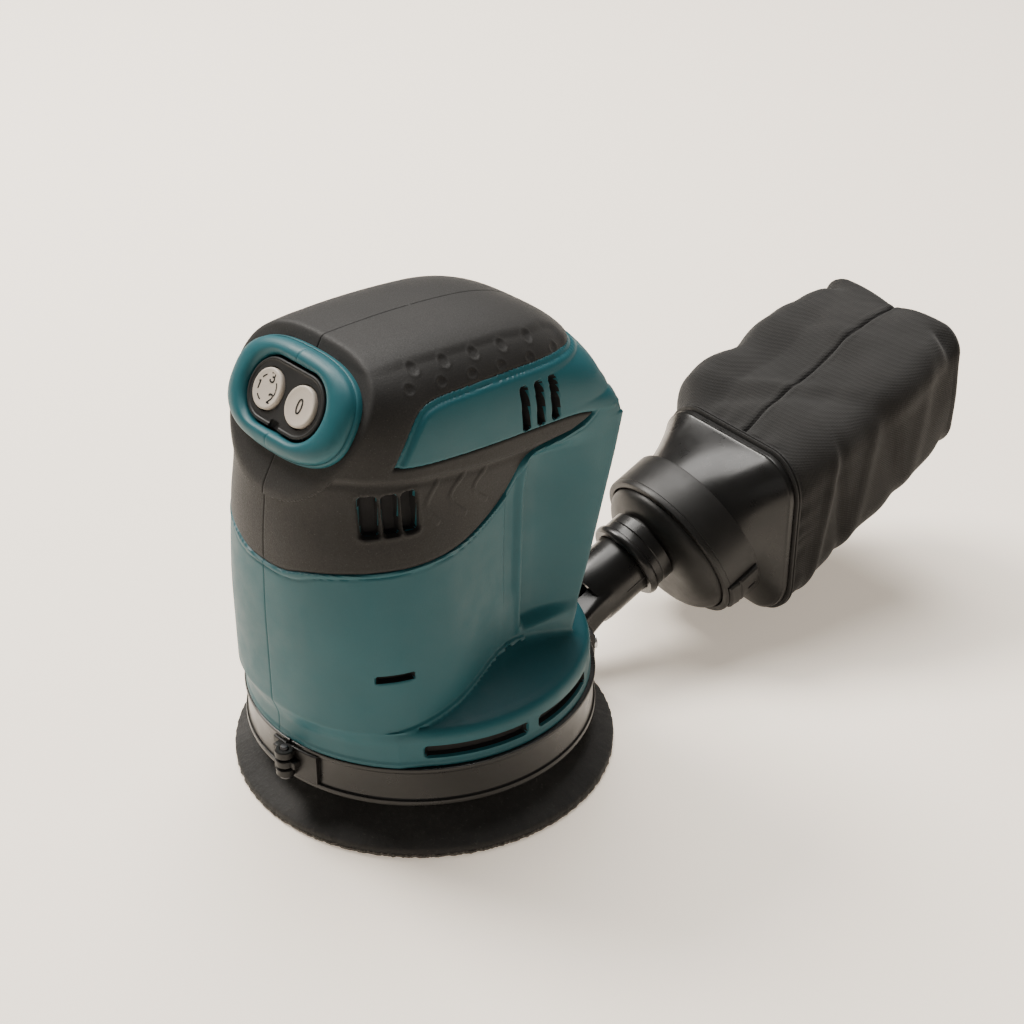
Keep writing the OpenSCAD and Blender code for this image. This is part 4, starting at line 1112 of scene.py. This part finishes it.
def build_nozzle():
    count = 96
    ring = circle_points(count)
    mouth = rounded_square(28, 12.4, 2.6, count)
    rings = []
    for t in np.linspace(0, 1, 22):
        at_band = along_bag(np.column_stack([mouth[:, 0], np.full(count, 54.0), 21.9 + mouth[:, 1]]))
        at_tube = on_nozzle(at_height(ring * np.array([11.2, -11.2]), 82.0))
        waist = 0.9 * math.sin(math.pi * t) * np.column_stack([ring[:, 0], -ring[:, 1], np.zeros(count)])
        rings.append(mix(at_band, at_tube, t) - waist @ NOZZLE_TURN.T * ease(t * 1.4))
    nozzle = loft("neck", rings)
    tube = [(0, 74), (10.9, 74), (11.2, 76), (11.3, 80), (11.3, 107.4), (11.0, 107.9), (0, 108)]
    combine(nozzle, lathe("tube", tube, on_nozzle, 120), "UNION")
    combine(nozzle, lathe("band_room", [(0, 0), (56.3, 0), (56.3, 60), (0, 60)], upright, 200))
    section = rounded_section(56.1, 58.4, 15.8, 28.0, 0.7)
    saddle = curved_plate("saddle", np.linspace(153, 197, 40), section)
    combine(nozzle, saddle, "UNION")
    bore = [(0, 62), (9.3, 62), (9.3, 107.2), (9.7, 107.8), (9.7, 112), (0, 112)]
    combine(nozzle, lathe("bore", bore, on_nozzle, 96))
    combine(nozzle, block("duct", (-11.9, 45, 18.05), (11.9, 62, 25.95), along_bag))
    for side in (-1, 1):
        pivot = turn("Z", BAG_ANGLE + side * 17.2)
        hole = [(0, 50), (1.35, 50), (1.35, 70), (0, 70)]
        combine(nozzle, lathe("hole", hole, lambda p: on_screw(p, pivot), 32))
    seam = []
    for x in (-11.3, 11.3):
        edge = np.array([(x - 0.16, -0.22), (x + 0.16, -0.22), (x + 0.16, 0.22), (x - 0.16, 0.22)])
        rings = [on_nozzle(at_height(edge, s)) for s in np.linspace(84, 107, 8)]
        seam.append(loft("seam", rings))
    nozzle = join([nozzle] + seam, "nozzle")
    finish_piece(nozzle, "nozzle", "body", GLOSS, ["dust_nozzle"], 34)


def on_screw(p, pivot):
    """Points given along a screw's axis in Z, level with the band's middle."""
    p = np.asarray(p)
    return np.column_stack([p[:, 0], p[:, 2], p[:, 1] + 22.0]) @ pivot.T


LATCH_TURN = turn("Z", 22)
TAB_LOW, TAB_HIGH, TAB_HW = 110.65, 123.95, 7.45


def on_latch(p):
    return on_collar(np.asarray(p) @ LATCH_TURN.T)


def build_bag_plastics():
    cuff = [(11.42, 92.3), (11.9, 92.0), (13.5, 92.0), (14.1, 92.5), (14.4, 93.3), (14.4, 94.2), (14.1, 94.9),
            (13.6, 95.2), (13.5, 95.6), (13.5, 97.8), (13.3, 98.1), (13.5, 98.4), (13.5, 102), (11.42, 102)]
    finish_piece(lathe("cuff", cuff, on_nozzle, 160, closed=True), "rubber_cuff", "dust_bag",
                 GLOSS, ["bag_cuff"], 30)

    outer = chaikin([(0, 102), (14.6, 102.1), (19, 102.9), (22.6, 104.6), (25.2, 107.0), (26.35, 109.4),
                     (26.35, 121)], 2)
    inner = [(23.8, 121), (23.8, 111), (20, 107), (0, 104.4)]
    dome = lathe("dome", list(map(tuple, outer)) + inner, on_collar, 200)
    combine(dome, lathe("tube_hole", [(0, 97), (11.42, 97), (11.42, 131), (0, 131)], on_nozzle, 120))
    combine(dome, block("room", (25.9, -7.65, 110.4), (34, 7.65, 130), on_latch))
    finish_piece(dome, "bag_dome", "dust_bag", SATIN, ["bag_adapter"], 34)

    collar = [
        (26.5, 110.0), (26.8, 109.62), (28.3, 109.62), (28.8, 109.85), (29.0, 110.4), (29.0, 111.5),
        (28.85, 111.65), (28.85, 111.85), (29.0, 112.0), (29.0, 124.2), (28.75, 124.8), (28.2, 125),
        (26.5, 125),
    ]
    collar = lathe("collar", collar, on_collar, 220, closed=True)
    combine(collar, bevel(block("room", (22.8, -7.62, 110.48), (34, 7.62, 124.12), on_latch), 0.35, 2))
    finish_piece(collar, "collar", "dust_bag", SATIN, ["bag_collar"], 34)

    build_press_tab()


def build_press_tab():
    """Curved plate with a rolled edge, a groove across it and one short mark."""
    rows, columns = 66, 70
    s = np.linspace(TAB_LOW, TAB_HIGH, rows)[:, None]
    across = np.linspace(-1, 1, columns)[None, :]
    edge = np.minimum(np.minimum(s - TAB_LOW, TAB_HIGH - s), (1 - np.abs(across)) * TAB_HW)
    radius = 30.55 - 0.55 * (1 - ease(edge / 0.9)) ** 1.5
    marked = bar_distance(across * TAB_HW, s - 120, 1.1, 3.6, 0.4) > 0
    radius = radius - 0.45 * bell(s - 115.2, 0.32) - 0.55 * marked
    radius = radius - 0.5 * ease((115.2 - s) / 3.5)
    angle = across * math.asin(TAB_HW / 30.5) + 0 * s
    top = np.stack([radius * np.cos(angle), radius * np.sin(angle), s + 0 * angle], -1)
    under = np.stack([26.9 + 0 * radius, 26.9 * np.tan(angle) * 1.09, s + 0 * angle], -1)
    points = np.vstack([top.reshape(-1, 3), under.reshape(-1, 3)])
    faces = loft_faces(rows, columns, closed_columns=False)
    offset = rows * columns
    faces += [tuple(i + offset for i in f[::-1]) for f in faces]
    rim = list(range(columns)) + [i * columns + columns - 1 for i in range(1, rows)]
    rim += list(range(offset - 2, offset - columns - 1, -1)) + [i * columns for i in range(rows - 2, 0, -1)]
    for a, b in zip(rim, rim[1:] + rim[:1]):
        faces.append((a, b, b + offset, a + offset))
    tab = face_outwards(new_object("tab", on_latch(points), faces))
    finish_piece(tab, "press_tab", "latch", SATIN, ["bag_latch"], 34)


BAG_COUNT = 360
MOUTH_W, REAR_W = 64.0, 66.0
FRONT_LOW, FRONT_HIGH, REAR_LOW, REAR_HIGH = 8.0, 68.5, 49.0, 98.0
FRONT_MID, REAR_MID = 38.2, 73.5
BEAD_Y, REAR_Y = 134.3, 207.0


def bag_outline(width, low, high, corner, distance, count=BAG_COUNT):
    """Upright rounded outline between two heights, at a distance behind the axis."""
    p = rounded_square(width, high - low, corner, count)
    return np.column_stack([p[:, 0], np.full(count, distance), (low + high) / 2 + p[:, 1]])


def build_neck():
    ring = circle_points(BAG_COUNT)
    axis = NOZZLE_TURN @ np.array([0, 0, 1.0])

    def ruled(radius, s, outline, shares, power):
        start = on_collar(at_height(ring * np.array([radius, -radius]), s))
        reach = along_bag(outline) - start
        ahead = (reach @ axis)[:, None] * axis
        return [start + ahead * t + (reach - ahead) * (0.12 * t + 0.88 * t**power) for t in shares]

    def rim(grow, h):
        low, high = FRONT_LOW + 0.9 - grow, FRONT_HIGH - 0.9 + grow
        return bag_outline(MOUTH_W - 1.4 + 2 * grow, low, high, 13.5 + grow, h)

    rings = ruled(26.2, 121.6, rim(0, 128.9), np.linspace(0, 1, 34), 1.75)
    for grow, h in ((0.2, 129.2), (0.62, 129.5), (0.7, 129.9), (0.62, 131.4), (0.3, 131.8)):
        rings.append(along_bag(rim(grow, h)))
    inner = ruled(24.0, 121.6, bag_outline(MOUTH_W - 6, 11, 65.5, 11.5, 131.8), np.linspace(1, 0, 16), 1.55)
    neck = loft("neck", rings + inner, closed_rows=True, caps=False)
    finish_piece(neck, "bag_neck", "dust_bag", GLOSS, ["bag_frame"], 32)

    section = [(-2.9, 131.85), (-0.9, 131.85), (-0.2, 131.9), (0.5, 132.0), (0.95, 132.3), (0.95, 132.7),
               (0.5, 132.95), (-0.35, 133.05), (0.5, 133.2), (0.95, 133.45), (0.95, 133.85), (0.5, 134.15),
               (-0.3, 134.25), (-2.9, 134.25)]
    rings = [
        along_bag(bag_outline(MOUTH_W + 2 * out, FRONT_LOW - out, FRONT_HIGH + out, 14 + out, h))
        for out, h in section
    ]
    bead = loft("bead", rings, closed_rows=True, caps=False)
    finish_piece(bead, "bag_rim", "dust_bag", RUBBER, ["bag_bead"], 40)


# ------------------------------------------------------------------ fabric bag

def build_bag():
    """Slack cloth shell: front hem on the bead, higher flat end behind, one seam along the top."""
    count, rows, end_rows = 480, 300, 70
    front = bag_outline(MOUTH_W - 0.6, FRONT_LOW + 0.3, FRONT_HIGH - 0.3, 14, BEAD_Y, count)
    rear = bag_outline(REAR_W - 1.0, REAR_LOW + 1.5, REAR_HIGH - 1.0, 9, REAR_Y, count)
    a = np.arange(count) / count * 2 * np.pi
    t = np.linspace(0, 1, rows)[:, None]
    grid = front[None] + (rear - front)[None] * t[..., None]
    centre = np.stack([0 * t, mix(BEAD_Y, REAR_Y, t), mix(FRONT_MID, REAR_MID, t)], -1)
    out = grid - centre
    flat = out.copy()
    flat[..., 1] = 0
    direction = flat / np.linalg.norm(flat, axis=-1, keepdims=True)
    x, z = out[..., 0], out[..., 2]
    half, half_w = mix(30.2, 24.5, t), mix(MOUTH_W, REAR_W, t) / 2
    top = ease((z / half - 0.35) / 0.4)
    bottom = ease((-z / half - 0.45) / 0.4)
    right = ease((x / half_w - 0.45) / 0.4)
    left = ease((-x / half_w - 0.45) / 0.4)
    h = 1.8 * np.sin(np.pi * clamp01(t * 1.02)) ** 0.8 * (0.4 + 0.6 * np.maximum(left, right))
    # the top swells just behind the bead, dips, and swells again
    h = h + top * (1.6 * bell(t - 0.20, 0.14) - 0.8 * bell(t - 0.42, 0.12) + 1.4 * bell(t - 0.70, 0.18))
    h = h + left * 6.0 * ease(t / 0.10) * (1 - ease((t - 0.30) / 0.7))
    swell = 1.2 * bell(t - 0.16, 0.12) - 1.2 * bell(t - 0.36 - z * 0.002, 0.10) + bell(t - 0.62, 0.16)
    h = h + left * swell
    h = h - bottom * 1.2 * bell(t - 0.45, 0.25)
    # seam along the top: the two panels roll down into it
    seam = np.abs(x - 2.0 + 2.0 * t)
    h = h - top * (0.45 * bell(seam, 3.0) + 0.95 * bell(seam, 0.55)) * ease(t / 0.03 + 0.4)
    h = h + top * 0.22 * bell(seam - 1.9, 1.0) * (1 + 0.4 * np.sin(t * 46 + 1.2))
    # puckers gathered into the bead beside the seam and along the front edge
    gather = np.exp(-t / 0.05)
    arc_place = np.cumsum(np.linalg.norm(np.diff(front, axis=0, prepend=front[-1:]), axis=1))[None, :]
    h = h + gather * ease(t / 0.012) * (0.3 * np.sin(arc_place * 0.7 + 3 * np.sin(arc_place * 0.11)) - 0.3)
    h = h + gather * ease(t / 0.02) * 0.9 * bell(np.abs(x - 12) - 4, 3.0) * top
    # long soft folds: upright ones on the right side near the front, slanting ones on the top
    for low_t, slope, width, depth in (
        (0.16, 0.0022, 0.030, 1.1), (0.26, -0.0016, 0.036, -1.2), (0.40, 0.0034, 0.045, 0.8),
        (0.58, -0.0034, 0.055, -0.7), (0.76, 0.0024, 0.05, 0.6),
    ):
        h = h + right * depth * bell(t - low_t - slope * z, width) * ease((t - 0.02) / 0.08)
    for low_t, slope, width, depth in (
        (0.27, 0.0085, 0.045, -0.8), (0.36, 0.0080, 0.040, 0.75), (0.56, -0.0060, 0.050, -0.5),
        (0.64, -0.0055, 0.045, 0.5), (0.80, 0.0050, 0.045, -0.4),
    ):
        h = h + top * depth * bell(t - low_t - slope * (x - 6), width) * (0.4 + 0.6 * bell(x + 14, 22))
    h = h + cloth_ripple(a[None, :], t) * ease(t / 0.06)
    # rear corners are pinched in, and the rear edge dips where the seam ends
    for sx, sz, depth in ((1, 1, 3.4), (-1, 1, 3.8), (1, -1, 1.8), (-1, -1, 1.8)):
        corner = np.hypot((x - sx * 27.5) / 6, (z - sz * 20.5) / 6)
        h = h - depth * np.exp(-corner**2) * bell(t - 0.955, 0.035)
    h = h - 1.8 * top * bell(x, 8) * bell(t - 1.0, 0.08)
    side_wall = grid + direction * h[..., None]
    inside = [side_wall[row] - direction[row] * 1.6 for row in (6, 2, 0)]
    rings = np.concatenate([np.array(inside), side_wall, bag_end(side_wall[-1], end_rows)])
    bag = loft("bag", along_bag(rings), caps=True)
    finish_piece(bag, "bag_cloth", "dust_bag", CLOTH, ["bag_fabric"], 60)


def bag_end(last, end_rows):
    """The rear edge turns over a soft radius and closes with a slightly sunken, seamed panel."""
    hub = np.array([0, REAR_Y, REAR_MID])
    share = np.linspace(0, 1, end_rows + 1)[1:-1][:, None, None] ** 1.5
    closing = hub + (last - hub) * (1 - share)
    radial = np.linalg.norm(closing - hub, axis=-1)
    depth_in = np.linalg.norm(last - hub, axis=-1)[None] - radial
    turned = 3.2 * np.sqrt(clamp01(1 - (1 - clamp01(depth_in / 4)) ** 2))
    off_seam = np.abs(closing[..., 0])
    sunk = 1.4 * bell(radial, 18) + 0.7 * bell(off_seam, 0.8) - 0.35 * bell(off_seam - 2.4, 1.2)
    piping = 0.5 * bell(depth_in - 4.2, 0.9)
    wave = 0.6 * np.sin(closing[..., 0] * 0.23 + 0.8) * np.sin(closing[..., 2] * 0.17)
    closing[..., 1] = REAR_Y + turned - (sunk - wave) * ease((depth_in - 4) / 6) + piping
    return closing


def cloth_ripple(a, t):
    """Seeded sum of soft waves round and along the bag, in millimetres."""
    total = np.zeros(np.broadcast(a, t).shape)
    for _ in range(26):
        around, along = RNG.integers(1, 9), RNG.uniform(1.5, 9.0)
        size = 0.30 / (1 + 0.22 * around + 0.28 * along)
        phase, wobble = RNG.uniform(0, 6.3), RNG.uniform(0, 6.3)
        slant = along * 2 * t * RNG.choice([-1, 1])
        total += size * np.sin(around * a + phase + 1.3 * np.sin(along * t + wobble) + slant)
    return total


# ------------------------------------------------------------------ pad

ORBIT = 1.4
HOLE_CIRCLE_R, HOLE_R, HOLE_COUNT = 32.5, 5.0, 8


def build_pad():
    place = lambda p: np.asarray(p) + np.array([ORBIT, 0, 0])
    segments = 720
    rough = RNG.uniform(-1, 1, (3, segments))

    def turned(name, profile, ragged):
        """Turned shape whose ragged points have an uneven edge."""
        ring = circle_points(segments)
        rings = []
        for (r, h), jag in zip(profile, ragged):
            uneven = jag * (0.6 * rough[0] + 0.4 * np.sin(np.arange(segments) * 0.7))
            rings.append(place(np.column_stack([ring * (r + uneven)[:, None], h + 0.25 * jag * rough[1]])))
        return loft(name, rings, closed_rows=True, caps=False)

    foam = [
        (11, 1.42), (60.9, 1.42), (61.25, 1.7), (61.3, 2.6), (61.2, 3.4), (60.7, 3.9), (57.5, 5.55),
        (54, 7.55), (50.5, 9.5), (48.2, 10.75), (47.6, 11), (11, 11),
    ]
    foam = turned("foam", foam, [0, 0.12, 0.16, 0.1, 0.16, 0.12, 0.08, 0.05, 0.05, 0.03, 0, 0])
    hook = [(11, 0.0), (60.2, 0.02), (61.0, 0.25), (61.2, 0.7), (61.1, 1.2), (60.8, 1.4), (11, 1.4)]
    hook = turned("hook", hook, [0, 0.1, 0.3, 0.3, 0.3, 0.15, 0])
    for obj in (foam, hook):
        for k in range(HOLE_COUNT):
            a = math.radians(360 / HOLE_COUNT * k)
            at = HOLE_CIRCLE_R * np.array([math.cos(a), math.sin(a), 0])
            hole = [(0, -2), (HOLE_R, -2), (HOLE_R, 14), (0, 14)]
            combine(obj, lathe("hole", hole, lambda p: place(np.asarray(p) + at), 48))
    finish_piece(foam, "foam", "pad", FOAM, ["pad_foam"], 40)
    finish_piece(hook, "hook_face", "pad", HOOK, ["pad_hook_face"], 40)


paint_cad_nodes()
build_body()
build_panel()
build_band()
build_nozzle()
build_bag_plastics()
build_neck()
build_bag()
build_pad()


# ------------------------------------------------------------------ stage, light and camera

def build_stage():
    n = Nodes("floor")
    shade_of = n.ramp(n.noise(3, 2), [(0.3, (0.955, 0.875, 0.775)), (0.7, (0.97, 0.89, 0.79))])
    n.drive(Base_Color=shade_of)
    n.set(Roughness=0.9, Specular_IOR_Level=0.1, Emission_Color=(1.0, 0.86, 0.70, 1), Emission_Strength=0.45)
    bpy.ops.mesh.primitive_plane_add(size=8, location=(0, 0, 0))
    floor = bpy.context.object
    floor.name = "floor"
    floor.data.materials.append(n.material)


LIT_POINT = Vector((0.01, 0.03, 0.06))


def aimed(name, data, at, look):
    """Light or camera at a place, looking along a direction."""
    obj = bpy.data.objects.new(name, data)
    bpy.context.scene.collection.objects.link(obj)
    obj.location = at
    obj.rotation_mode = "QUATERNION"
    obj.rotation_quaternion = look.to_track_quat("-Z", "Y")
    return obj


def area_light(name, direction, distance, size, power, colour):
    data = bpy.data.lights.new(name, "AREA")
    data.shape = "DISK"
    data.size = size
    data.energy = power
    data.color = colour
    d = Vector(direction).normalized()
    aimed(name, data, LIT_POINT + d * distance, -d)


CAMERA_AZIMUTH, CAMERA_PITCH = 48.0, 30.846
CAMERA_LENS = 66.80
CAMERA_AT = (0.38864, -0.31059, 0.38024)


def build_camera():
    data = bpy.data.cameras.new("camera")
    data.lens = CAMERA_LENS
    data.sensor_width = 36
    a, e = math.radians(CAMERA_AZIMUTH), math.radians(CAMERA_PITCH)
    look = Vector((-math.sin(a) * math.cos(e), math.cos(a) * math.cos(e), -math.sin(e)))
    bpy.context.scene.camera = aimed("camera", data, CAMERA_AT, look)


def build_lights():
    world = bpy.data.worlds.new("world")
    world.use_nodes = True
    background = world.node_tree.nodes["Background"]
    background.inputs["Color"].default_value = (1.0, 0.955, 0.90, 1)
    background.inputs["Strength"].default_value = 0.15
    bpy.context.scene.world = world
    area_light("key", (-0.85, -0.2, 1.0), 1.6, 0.6, 34, (1.0, 0.955, 0.89))
    area_light("top", (-0.35, 0.25, 1.0), 2.0, 1.5, 62, (1.0, 0.97, 0.93))
    area_light("fill", (0.75, -1.0, 0.6), 2.0, 1.2, 2.0, (1.0, 0.97, 0.94))


build_stage()
build_lights()
build_camera()
